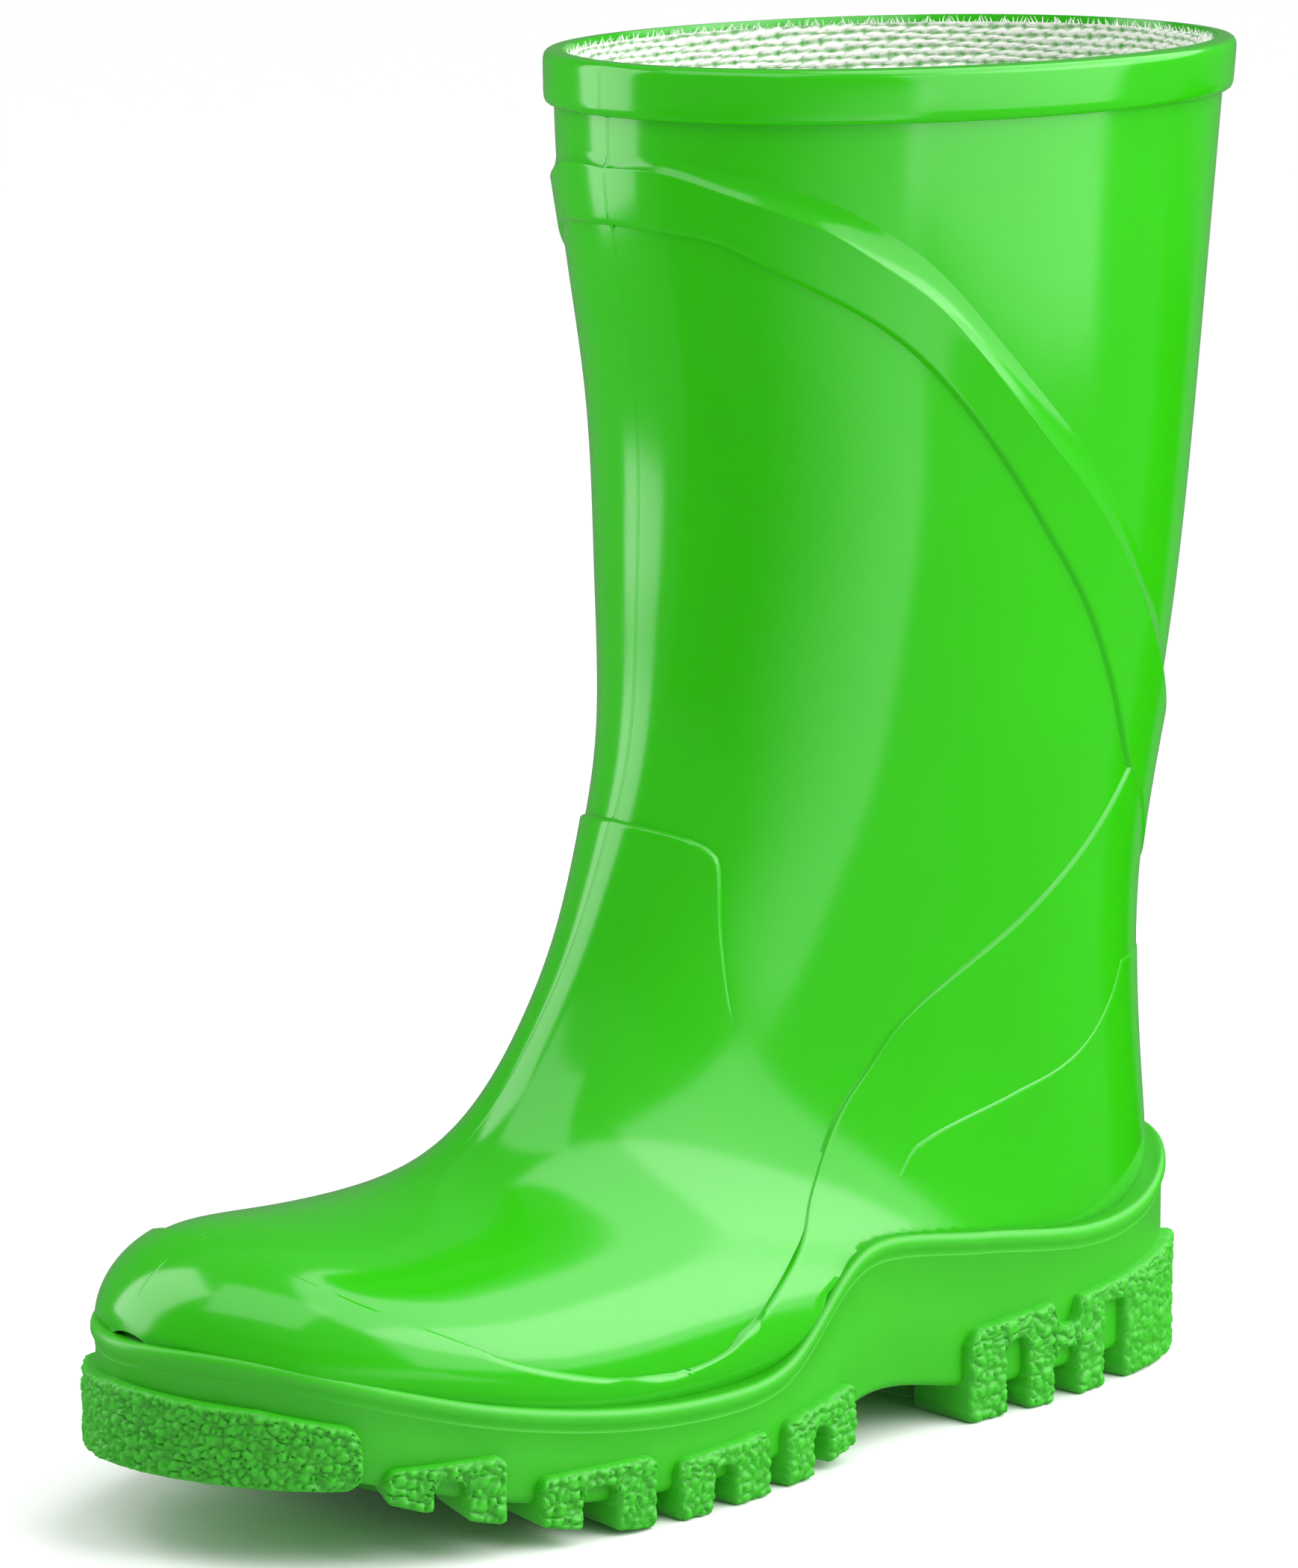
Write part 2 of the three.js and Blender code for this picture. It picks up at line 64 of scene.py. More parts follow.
# Sections of the upper from the rim down the leg, round the heel and out to the toe: front y, z, back y, z,
# outer and inner half width, share of the depth where it is widest, power of the front and of the back half.
UPPER = np.array([
    (-9.8, 240.5, 120, 240.5, 48, 48, 0.5, 2.1, 2.1),
    (-8.8, 212.5, 118, 211.5, 46, 46, 0.5, 2.1, 2.1),
    (-3.8, 181.5, 114.8, 175.5, 44, 44, 0.5, 2.1, 2.1),
    (-3.4, 151.5, 112.2, 142.5, 41, 41, 0.5, 2.05, 2.1),
    (-4.8, 125.5, 108, 111.5, 37.5, 37.5, 0.52, 2, 2.1),
    (-9.5, 107.5, 106, 83.5, 34, 34, 0.54, 2, 2.1),
    (-16.5, 90.5, 108.5, 55.5, 31.5, 31, 0.56, 2, 2.1),
    (-25.5, 75.5, 111, 31.5, 30.6, 29.5, 0.56, 2, 2.15),
    (-36, 62.5, 102, 14.5, 32.4, 29.5, 0.56, 2.05, 2.3),
    (-48, 54, 62, 14.5, 36.5, 31.5, 0.58, 2.1, 2.8),
    (-62, 51, 12, 13.5, 40, 34.5, 0.62, 2.1, 3),
    (-78, 51, -32, 10.5, 41.5, 36.5, 0.66, 2.1, 3.2),
    (-92, 51, -68, 14.5, 38, 33, 0.66, 2.2, 3.2),
    (-103, 48, -93, 19.5, 29.5, 25, 0.62, 2.1, 3),
    (-109.5, 42.5, -106, 25.5, 17, 14.5, 0.55, 2, 2.4),
    (-111.8, 37, -111.2, 32.5, 5.5, 5, 0.5, 2, 2),
])
TOE = len(UPPER) - 1

# Sole from toe to heel: y, outer and inner half width, underside z, lip z.
SOLE = np.array([
    (-115, 0, 0, 18, 36.5),
    (-108.5, 18.5, 15.5, 17, 36.5),
    (-96, 31.5, 27, 15.5, 33.5),
    (-78, 40.2, 35, 11.3, 28.2),
    (-60, 44, 39, 7.2, 24),
    (-40, 45.5, 40, 5, 21),
    (-20, 44.5, 38.5, 4.5, 19.8),
    (-4, 41.5, 35.5, 4.8, 21.8),
    (8, 38.5, 33, 6.5, 30.5),
    (18, 36.2, 31.6, 9.3, 36.5),
    (30, 34.6, 31, 9, 36.6),
    (44, 33.8, 31.2, 6, 34.5),
    (52, 33.6, 31.3, 5, 33.5),
    (66, 33, 31.3, 5, 31.4),
    (80, 30.8, 30.2, 5, 30.2),
    (94, 26.8, 26.8, 5, 32),
    (107, 17.6, 17.6, 5.5, 36.5),
    (115, 0, 0, 6, 38.5),
])
HEEL = len(SOLE) - 1

# Edges on the upper as (ring, degrees from the instep) along their length.
VAMP_EDGE = [(4.83, 0), (4.84, 12), (4.86, 20), (4.91, 27), (5, 31.5), (5.15, 33.5), (5.4, 35.3), (5.65, 37),
             (6, 40), (6.4, 44), (6.8, 50), (7.1, 56), (7.45, 63)]
GALOSH_EDGE = [(3.9, 127), (4.1, 121), (4.7, 106), (5.4, 87), (6.05, 73), (6.6, 68), (7.2, 65), (7.9, 66),
               (8.4, 70), (9, 77), (9.5, 84), (9.85, 89), (10.2, 91.5), (10.45, 91), (10.73, 88), (10.98, 82),
               (11.28, 74), (11.43, 68), (11.72, 58), (12.02, 47), (12.25, 32), (12.38, 16), (12.42, 0)]
COUNTER_EDGE = [(5.4, 128), (5.65, 123), (6.05, 112), (6.35, 101), (6.6, 92), (7.1, 80), (7.5, 77),
                (8.05, 76)]
# Edges of the band that sweeps round the shaft, as (degrees, ring).
SWEEP_TOP = [(0, 0.65), (14, 0.65), (27, 0.75), (43, 0.92), (53, 1.1), (63, 1.32), (71, 1.57), (82, 1.95),
             (98, 2.47), (114, 3), (129, 3.45), (150, 3.85), (180, 4.05)]
SWEEP_LOW = [(0, 1), (16, 1.02), (26, 1.07), (37, 1.22), (47, 1.37), (62, 1.68), (80, 2.3), (92, 2.78),
             (102, 3.2), (114, 3.78), (121, 4.06), (135, 4.4), (155, 4.8), (180, 4.9)]
# Ground level under the lugs: level from ball to arch and under the heel, rising to the toe.
TREAD = [(-118, 16), (-90, 12.3), (-75, 7.4), (-60, 3.8), (-47, 1), (-38, 0), (2, 0), (8, 2), (16, 3.5),
         (40, 0), (118, 0)]

# Side lugs from toe to heel: legs along y, top z, z of the gaps' upper ends.
SIDE_LUGS = [
    {"legs": [(-88, -80.3), (-75.3, -68)], "top": [(-88, 17.2), (-68, 17.8)], "gaps": [14.4]},
    {"legs": [(-62, -53.5), (-47, -38.4)], "top": [(-62, 12.6), (-38.4, 12.8)], "gaps": [9.2]},
    {"legs": [(-33.6, -25.4), (-20.8, -11.6)], "top": [(-33.6, 10.6), (-11.6, 11.6)], "gaps": [7.6]},
    {"legs": [(-7, 0.6), (5, 13.2)], "top": [(-7, 11.4), (13.2, 14.2)], "gaps": [8.3]},
]
HEEL_LUG = {
    "legs": [(43, 52.5), (57.5, 64.4), (70.4, 78.2), (84.5, 108)],
    "top": [(43, 15.4), (46, 17), (64, 18.4), (66, 14), (69.5, 13.8), (71.5, 18.2), (84, 19.2), (108, 22)],
    "gaps": [13.4, 9.4, 15.2],
}
BUMPER = {"end": -91, "low": 14, "top": [29.8, 27.8, 24.6]}
FOREFOOT_BARS = [(-70, 21, 8), (-52, 24, 8), (-27, 24, 9), (1.5, 20, 9)]
HEEL_BARS = [(51, 16, 9), (70, 15, 9), (88, 11, 8)]


# ---- curves ----

def spline_weights(count, closed):
    """Turns stations into the control points of a smooth cubic curve that passes through them."""
    m = np.zeros((count, count))
    for i in range(count):
        m[i, i] = 4 / 6
        for j in (i - 1, i + 1):
            if closed:
                m[i, j % count] += 1 / 6
            elif 0 <= j < count:
                m[i, j] = 1 / 6
    if not closed:
        m[0], m[-1] = np.eye(count)[0], np.eye(count)[-1]
    return np.linalg.inv(m)


def smooth_curve(stations, closed=False):
    """Function from an array of places along the stations to their values, curving smoothly through them."""
    table = np.array(stations, dtype=float)
    control = spline_weights(len(table), closed) @ table
    if not closed:
        control = np.vstack([2 * control[0] - control[1], control, 2 * control[-1] - control[-2]])

    def at(place):
        place = np.asarray(place, dtype=float)
        if not closed:
            place = np.clip(place, 0, len(table) - 1 - 1e-9)
        start = np.floor(place).astype(int)
        f = (place - start)[..., None]
        k = [control[(start + j - 1) % len(control) if closed else start + j] for j in range(4)]
        return ((1 - f) ** 3 * k[0] + (3 * f**3 - 6 * f**2 + 4) * k[1]
                + (-3 * f**3 + 3 * f**2 + 3 * f + 1) * k[2] + f**3 * k[3]) / 6

    return at


upper_at = smooth_curve(UPPER)
sole_at = smooth_curve(
    [(outer, y, under, lip) for y, outer, _, under, lip in SOLE]
    + [(-inner, y, under, lip) for y, _, inner, under, lip in SOLE[-2:0:-1]],
    closed=True,
)
SOLE_AROUND = 2 * HEEL


def dense(edge, count=400):
    """Closely spaced points along an edge given by a few."""
    return smooth_curve(edge)(np.linspace(0, len(edge) - 1, count))


def lookup(edge, x):
    """Value at x along an edge whose first column rises."""
    line = dense(edge)
    return np.interp(x, line[:, 0], line[:, 1])


def mix(a, b, share):
    """a at a share of 0 and b at 1."""
    return a + (b - a) * share


def eased(x, low, high):
    """0 below low, 1 above high and a smooth rise between."""
    t = np.clip((x - low) / (high - low), 0, 1)
    return t * t * (3 - 2 * t)


# ---- surfaces ----

def on_upper(ring, degrees, out=0.0):
    """Points on the upper, at a ring place and an angle round it from the instep, moved out by some mm."""

    def surface(r, d):
        front_y, front_z, back_y, back_z, outer, inner, widest, front, back = np.moveaxis(upper_at(r), -1, 0)
        a, b = np.cos(np.radians(d)), np.sin(np.radians(d))
        power = 2 / np.where(a >= 0, front, back)
        reach = np.abs(a) ** power
        share = np.where(a >= 0, widest * (1 - reach), widest + (1 - widest) * reach)
        x = np.sign(b) * np.where(b >= 0, outer, inner) * np.abs(b) ** power
        return np.stack([x, mix(front_y, back_y, share), mix(front_z, back_z, share)], axis=-1)

    step, turn = 0.02, 0.3  # how far apart the points lie that show which way the surface faces
    ring, degrees, out = np.broadcast_arrays(ring, degrees, out)
    ahead = np.clip(ring + step / 2, step, TOE)
    normal = np.cross(surface(ahead, degrees) - surface(ahead - step, degrees),
                      surface(ring, degrees + turn) - surface(ring, degrees - turn))
    normal /= np.maximum(np.linalg.norm(normal, axis=-1, keepdims=True), 1e-9)
    return surface(ring, degrees) + normal * out[..., None]


def on_sole(place, out, z):
    """Points on the sole's wall at a place round it, moved out by some mm, at a height."""
    step = 0.02
    place, out, z = np.broadcast_arrays(place, out, z)
    ahead = sole_at(place + step)[..., :2] - sole_at(place - step)[..., :2]
    ahead /= np.linalg.norm(ahead, axis=-1, keepdims=True)
    xy = sole_at(place)[..., :2]
    return np.stack([xy[..., 0] + ahead[..., 1] * out, xy[..., 1] - ahead[..., 0] * out, z], axis=-1)


OUTER_WALL = np.linspace(0, HEEL, 1500)
OUTER_WALL_Y = sole_at(OUTER_WALL)[:, 1]


def sole_place(y):
    """Place on the sole's outer wall at y."""
    return np.interp(y, OUTER_WALL_Y, OUTER_WALL)


# ---- mesh helpers ----

def put(verts, points):
    """Moves each vertex to its point."""
    for vert, point in zip(verts, points):
        vert.co = point


def points_of(verts):
    """Where the vertices are, one row each."""
    return np.array([vert.co[:] for vert in verts])


def laid_grid(columns, rows, place):
    """A grid whose points lie at place(u, v), with u and v from 0 to 1; points that meet are merged."""
    bm = bmesh.new()
    bmesh.ops.create_grid(bm, x_segments=columns, y_segments=rows, size=0.5)
    uv = np.clip(points_of(bm.verts)[:, :2] + 0.5, 0, 1)
    put(bm.verts, place(uv[:, 0], uv[:, 1]))
    bmesh.ops.remove_doubles(bm, verts=bm.verts, dist=1e-4)
    bmesh.ops.recalc_face_normals(bm, faces=bm.faces)
    return bm


def line_tree(points):
    """Search tree of closely spaced points along a line."""
    tree = kdtree.KDTree(len(points))
    for i, point in enumerate(points):
        tree.insert(point, i)
    tree.balance()
    return tree


def distance_to(tree, points):
    """Distance from each point to the line of a search tree."""
    return np.array([tree.find(point)[2] for point in points])


def ray_tree(name):
    """Search tree of a finished piece's faces, for cast."""
    mesh = bpy.data.objects[name].data
    corners = [face.vertices[:] for face in mesh.polygons]
    return bvhtree.BVHTree.FromPolygons([vert.co[:] for vert in mesh.vertices], corners)


def cast(tree, start, direction, reach):
    """How far the piece lies from a point, in mm along a direction, or None if it is beyond reach."""
    depth = tree.ray_cast(Vector(start) * MM, Vector(direction), reach * MM)[3]
    return None if depth is None else depth / MM


def facing(bm, outward_from):
    """Turns a sheet over if, on the whole, it faces the point that it should face away from."""
    bm.normal_update()
    away = sum(f.normal.dot(f.calc_center_median() - Vector(outward_from)) for f in bm.faces)
    if away < 0:
        bmesh.ops.reverse_faces(bm, faces=bm.faces)


def extruded(bm):
    """Doubles an open sheet, joined along its border, and gives the vertices of the second one."""
    made = bmesh.ops.extrude_face_region(bm, geom=bm.faces[:])
    return [g for g in made["geom"] if isinstance(g, bmesh.types.BMVert)]


def backed(bm, depth):
    """Gives an open sheet a back, depth mm behind its face."""
    bm.normal_update()
    for vert in extruded(bm):
        vert.co = vert.co - vert.normal * depth


def slab(bm, thick, rounded, corner):
    """Thickens a level sheet upwards and rounds every edge that turns by more than corner, in radians."""
    bmesh.ops.translate(bm, vec=(0, 0, thick), verts=extruded(bm))
    bmesh.ops.recalc_face_normals(bm, faces=bm.faces)
    rim = [e for e in bm.edges if e.is_manifold and e.calc_face_angle() > corner]
    bmesh.ops.bevel(bm, geom=rim, offset=rounded, offset_type="OFFSET", segments=2, profile=0.5,
                    affect="EDGES", material=-1)


def finished(bm, name, slot, nodes=(), body=BODY, sharp=50):
    """Makes the bmesh, in mm, an object in metres that rides on a body and stands for the CAD nodes."""
    bmesh.ops.recalc_face_normals(bm, faces=bm.faces)
    bmesh.ops.scale(bm, vec=(MM, MM, MM), verts=bm.verts)
    for face in bm.faces:
        face.smooth = True
    mesh = bpy.data.meshes.new(name)
    bm.to_mesh(mesh)
    bm.free()
    mesh.set_sharp_from_angle(angle=math.radians(sharp))
    mesh.materials.append(finish_of(slot))
    piece = bpy.data.objects.new(name, mesh)
    bpy.context.scene.collection.objects.link(piece)
    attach(piece, body)
    if nodes:
        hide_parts(*nodes)


# ---- materials ----

def linear(hex_colour):
    """sRGB hex as linear red, green and blue."""
    channels = [int(hex_colour[i:i + 2], 16) / 255 for i in (0, 2, 4)]
    return tuple(c / 12.92 if c <= 0.04045 else ((c + 0.055) / 1.055) ** 2.4 for c in channels)


def add(tree, kind, settings=None, links=None):
    """Adds a node: settings name its inputs or properties, links join its inputs to other nodes' outputs."""
    made = tree.nodes.new(kind)
    for key, value in (settings or {}).items():
        if isinstance(key, int) or key in made.inputs:
            made.inputs[key].default_value = value
        else:
            setattr(made, key, value)
    for key, output in (links or {}).items():
        tree.links.new(output, made.inputs[key])
    return made


def new_material(name, settings):
    """A material with one shader, and its tree, shader and texture coordinates."""
    material = bpy.data.materials.new(name)
    material.use_nodes = True
    tree = material.node_tree
    tree.nodes.clear()
    shader = add(tree, "ShaderNodeBsdfPrincipled", settings)
    add(tree, "ShaderNodeOutputMaterial", links={"Surface": shader.outputs["BSDF"]})
    return material, tree, shader, add(tree, "ShaderNodeTexCoord")


def tinted(tree, shader, factor, dark, light):
    """Links the base colour to a blend of two colours."""
    blend = add(tree, "ShaderNodeMix", {"data_type": "RGBA"}, {"Factor": factor})
    blend.inputs[6].default_value = (*dark, 1)
    blend.inputs[7].default_value = (*light, 1)
    tree.links.new(blend.outputs[2], shader.inputs["Base Color"])


def shades(colour, low, high):
    """The colour times low, and times high as far as white."""
    return [c * low for c in colour], [min(c * high, 1) for c in colour]


def texture(tree, coords, size, kind="Noise", output="Fac", **settings):
    """Output of a texture on the object, with a pattern of that size in mm."""
    settings["Scale"] = 1 / (size * MM)
    place = {"Vector": coords.outputs["Object"]}
    return add(tree, "ShaderNodeTex" + kind, settings, place).outputs[output]


def ranged(tree, value, ends):
    """A value mapped to another range."""
    return add(tree, "ShaderNodeMapRange", ends, {"Value": value}).outputs["Result"]


def relief(tree, shader, height, strength, depth, on=None):
    """Turns the shader's normal by a relief of a depth in mm, which may lie on another relief."""
    links = {"Height": height, "Normal": on} if on else {"Height": height}
    bump = add(tree, "ShaderNodeBump", {"Strength": strength, "Distance": depth * MM}, links)
    normal = bump.outputs["Normal"]
    tree.links.new(normal, shader.inputs["Normal"])
    return normal


def polished_mould_pvc(colour):
    """Plasticised PVC slush-moulded in a polished mould: a wet-looking gloss that rolls very slightly."""
    material, tree, shader, coords = new_material("polished_mould_pvc", {"IOR": 1.53, "Roughness": 0.1})
    tinted(tree, shader, texture(tree, coords, 35, Detail=2), *shades(colour, 0.93, 1.05))
    scuffs = texture(tree, coords, 9, Detail=4, Roughness=0.6)
    tree.links.new(ranged(tree, scuffs, {"To Min": 0.12, "To Max": 0.19}), shader.inputs["Roughness"])
    roll = relief(tree, shader, texture(tree, coords, 14, Detail=1), 0.25, 0.12)
    specks = texture(tree, coords, 5, "Voronoi", "Distance")
    pits = ranged(tree, specks, {"From Max": 0.06, "To Min": 1, "To Max": 0})
    relief(tree, shader, pits, 0.3, 0.03, roll)
    return material


def satin_mould_pvc(colour):
    """Harder PVC injected against a fine-blasted mould: a satin wall with a very fine even grain."""
    material, tree, shader, coords = new_material("satin_mould_pvc", {"IOR": 1.53, "Roughness": 0.4})
    clouds = texture(tree, coords, 22, Detail=3)
    tinted(tree, shader, clouds, *shades(colour, 0.9, 1.06))
    tree.links.new(ranged(tree, clouds, {"To Min": 0.34, "To Max": 0.46}), shader.inputs["Roughness"])
    relief(tree, shader, texture(tree, coords, 0.5, Detail=2), 0.35, 0.03)
    return material


def pebbled_pvc(colour):
    """The sole's PVC on a coarse spark-eroded grain: dull pebbles, with painted shade darkening the cracks
    between them.
    """
    material, tree, shader, coords = new_material("pebbled_mould_pvc", {"IOR": 1.53, "Roughness": 0.5})
    # The pebble attribute is 0 in the cracks and 1 on the pebbles; the colour is darkened towards 0 as
    # painted shade in the cracks.
    painted_crack_shade = add(tree, "ShaderNodeAttribute", {"attribute_name": "pebble"})
    tinted(tree, shader, painted_crack_shade.outputs["Fac"], *shades(colour, 0.84, 1.05))
    relief(tree, shader, texture(tree, coords, 0.6, Detail=3), 0.6, 0.08)
    return material


def weft_knit_cotton(thread, gap):
    """Loose cotton knit glued inside: matt white courses, with the green wall showing in the gaps, darkened
    there as painted shade where the loops lie low.
    """
    material, tree, shader, coords = new_material(
        "weft_knit_cotton", {"IOR": 1.5, "Roughness": 0.95, "Sheen Weight": 0.25, "Specular IOR Level": 0.2})
    loop_height_shade = add(tree, "ShaderNodeAttribute", {"attribute_name": "loop"})
    fuzz = texture(tree, coords, 0.7, Detail=4)
    # Where the loops lie low the colour turns to the gap colour: the green wall between the yarns plus
    # painted shade in the gaps.
    lifted = ranged(tree, loop_height_shade.outputs["Fac"], {"From Min": 0.08, "From Max": 0.42})
    uneven = add(tree, "ShaderNodeMath", {"operation": "MULTIPLY_ADD", 1: 0.6, 2: -0.3}, {0: fuzz})
    factor = add(tree, "ShaderNodeMath", {"operation": "ADD", "use_clamp": True},
                 {0: lifted, 1: uneven.outputs["Value"]})
    tinted(tree, shader, factor.outputs["Value"], gap, thread)
    relief(tree, shader, fuzz, 0.8, 0.15)
    return material


def needled_felt(colour):
    """Needle-punched polyester felt: matt, with short fibres lying every way."""
    material, tree, shader, coords = new_material(
        "needled_felt", {"IOR": 1.5, "Roughness": 0.97, "Sheen Weight": 0.3, "Specular IOR Level": 0.15})
    fibres = texture(tree, coords, 1.2, Detail=6, Distortion=1.5)
    tinted(tree, shader, fibres, *shades(colour, 0.7, 1.15))
    relief(tree, shader, fibres, 0.7, 0.3)
    return material


def paper_sweep(colour):
    """Matt white studio paper, with a faint tooth."""
    material, tree, shader, coords = new_material(
        "paper_sweep", {"Roughness": 0.9, "Specular IOR Level": 0.1})
    tinted(tree, shader, texture(tree, coords, 2, Detail=3), *shades(colour, 0.985, 1))
    return material


FINISHES = {
    "upper_pvc": lambda s: polished_mould_pvc(s.upper),
    "sole_pvc": lambda s: satin_mould_pvc(s.sole),
    "lug_pvc": lambda s: pebbled_pvc(s.lugs),
    "knit": lambda s: weft_knit_cotton(s.knit, s.knit_gap_wall_and_shade),
    "felt": lambda s: needled_felt(s.felt),
}
MADE = {}


def finish_of(slot):
    """The material of a slot, made once from the colours set."""
    if slot not in MADE:
        MADE[slot] = FINISHES[slot](bpy.context.scene.rain_boot_colours)
    return MADE[slot]


# ---- settings ----

def colour_setting(name, description, hex_colour):
    """A colour of the settings, from sRGB hex."""
    return FloatVectorProperty(name=name, description=description, default=linear(hex_colour), size=3,
                               min=0, max=1, subtype="COLOR")


def length_setting(name, description, mm):
    """A length of the settings, kept in metres."""
    return FloatProperty(name=name, description=description, default=mm * MM, min=0, max=0.05, unit="LENGTH")


class RAINBOOT_PG_colours(PropertyGroup):
    upper: colour_setting("Upper", "Moulded PVC of the leg and foot", "28aa04")
    sole: colour_setting("Sole", "Satin wall of the outsole", "2eac0a")
    lugs: colour_setting("Lugs", "Pebbled lugs and toe bumper", "2caa0a")
    knit: colour_setting("Knit", "Yarn of the lining", "fafbf6")
    # The knit's gap colour is the green wall seen between the yarns, darkened as painted shade.
    knit_gap_wall_and_shade: colour_setting("Knit gaps", "Wall seen between the yarns", "4fa043")
    felt: colour_setting("Felt", "Loose insole", "b9beb4")
    paper: colour_setting("Paper", "Floor under the boot", "f4f4f4")


class RAINBOOT_PG_sizes(PropertyGroup):
    wall: length_setting("Wall", "Thickness of the upper's wall", 2)
    lining: length_setting("Lining", "Thickness of the knitted lining", 1.2)
    insole: length_setting("Insole", "Thickness of the insole", 4)
    cuff_proud: length_setting("Cuff", "How far the cuff stands off the leg", 1.8)
    cuff_deep: length_setting("Cuff depth", "Height of the cuff", 9.5)
    sweep_proud: length_setting("Sweep band", "How far the crest of the sweep band stands off the leg", 1.7)
    vamp_proud: length_setting("Vamp", "How far the vamp panel's top edge stands off the leg", 0.8)
    galosh_proud: length_setting("Galosh", "How far the toe cap stands off the foot", 1.25)
    lip_proud: length_setting("Sole lip", "How far the bead along the sole's top edge stands out", 0.8)
    lug_proud: length_setting("Lugs", "How far the lugs stand off the sole's wall", 2)
    lug_reach: length_setting("Lug reach", "How far the lugs run in under the sole", 12)
    pebble: length_setting("Pebbles", "Depth of the grain on the lugs", 0.8)


def mm_of(name):
    """A size setting in mm."""
    return getattr(bpy.context.scene.rain_boot_sizes, name) / MM


# ---- relief on the upper ----

EDGE_STEPS = np.array([0, 0.15, 0.35, 0.6, 0.95, 1.4, 2.2])  # mm from an overlay's edge to its grid lines
EDGE_EVEN = 25  # places along an overlay at which its length and width are measured
BURIED = -0.15  # height of an overlay's very edge, just under the upper's surface
IN_SOLE = -1.7  # how far the upper is drawn in where the sole covers it
BACK = 0.7  # mm from an overlay's face to its back


def edged(columns, length):
    """columns + 1 shares of a length in mm, close together at both ends and even between."""
    ends = EDGE_STEPS / length
    inner = np.linspace(ends[-1], 1 - ends[-1], columns + 3 - 2 * len(EDGE_STEPS))
    return np.concatenate([ends, inner[1:-1], (1 - ends)[::-1]])


def length_of(points):
    """Length of a line of points."""
    return np.linalg.norm(np.diff(points, axis=0), axis=1).sum()


def patch(columns, rows, spot):
    """Function from a grid's u and v to ring and degrees on part of the upper, dense along its edges.
    spot(s, t) gives the ring and degrees of a share s across the part and a share t down it."""
    last = EDGE_EVEN - 1
    even = np.linspace(0, 1, EDGE_EVEN)

    def measured(count, line):
        return np.stack([edged(count, length_of(on_upper(*line(np.full(EDGE_EVEN, x))))) for x in even])

    across = measured(columns, lambda t: spot(even, t))
    down = measured(rows, lambda s: spot(s, even))

    def spread(u, v):
        i = np.rint(u * columns).astype(int)
        j = np.rint(v * rows).astype(int)
        s, t = u, v
        for _ in range(3):
            row, column = t * last, s * last
            low, left = np.minimum(row.astype(int), last - 1), np.minimum(column.astype(int), last - 1)
            s, t = (mix(across[low, i], across[low + 1, i], row - low),
                    mix(down[left, j], down[left + 1, j], column - left))
        return spot(s, t)

    return spread


def rise(distance, width):
    """Rounded shoulder of a raised edge: 0 at its foot and 1 from width on."""
    t = np.clip(distance / width, 0, 1)
    return np.sqrt(np.maximum(1 - (1 - t) ** 2, 0))


def in_sole(points):
    """0 above the sole's lip to 1 where the sole's wall hides a point of the upper."""
    return eased(sole_at(sole_place(points[:, 1]))[:, 3] - 0.8 - points[:, 2], 0, 2)


def edge_tree(ring, degrees):
    """Search tree along an edge drawn on the upper, on both sides of the boot."""
    fine = np.linspace(0, len(ring) - 1, 12 * len(ring))
    ring, degrees = (np.interp(fine, np.arange(len(ring)), x) for x in (ring, degrees))
    return line_tree(np.vstack([on_upper(ring, degrees), on_upper(ring, -degrees)]))


def raised(name, node, columns, rows, spot, height, tree, width):
    """Overlay on the upper, height(ring) mm high, that sinks under it over a width along tree's edge."""
    spread = patch(columns, rows, spot)

    def place(u, v):
        ring, degrees = spread(u, v)
        ground = on_upper(ring, degrees)
        out = mix(BURIED, height(ring), eased(distance_to(tree, ground), 0, width))
        return on_upper(ring, degrees, mix(out, IN_SOLE - 0.4, in_sole(ground)))

    bm = laid_grid(columns, rows, place)
    facing(bm, (0, 40, 60))
    backed(bm, BACK)
    finished(bm, name, "upper_pvc", [node])


def galosh_height(ring):
    """Height of the low zone round the foot: low at the ankle, full at the toe."""
    stations = [(3.5, 0.6), (5, 0.55), (6.2, 0.45), (7.4, 0.55), (9, 0.8), (10.6, 1.05), (12, 1.2),
                (15.5, 1.2)]
    return np.interp(ring, *np.transpose(stations)) * mm_of("galosh_proud") / 1.2


def vamp_height(ring):
    """Height of the vamp panel: full at its top edge and low at the toe."""
    return np.interp(ring, [4.8, 5.6, 7.4], [1, 0.9, 0.45]) * mm_of("vamp_proud")


GALOSH = dense(GALOSH_EDGE, 600)
SEAM_RING = 10.42  # the toe cap ends and the quarters begin here
TOE_DEGREES = np.interp(SEAM_RING, GALOSH[:, 0], GALOSH[:, 1])
TOE_PART = GALOSH[GALOSH[:, 0] >= SEAM_RING]
LAST_DEGREES = 128  # the overlays end here, inside the sole


def galosh_tree():
    """Search tree along the galosh line, for the overlays under it."""
    return edge_tree(GALOSH[::4, 0], GALOSH[::4, 1])


def toe_line(degrees):
    """Ring of the toe cap's upper edge."""
    order = np.argsort(TOE_PART[:, 1])
    return np.interp(degrees, TOE_PART[order, 1], TOE_PART[order, 0])


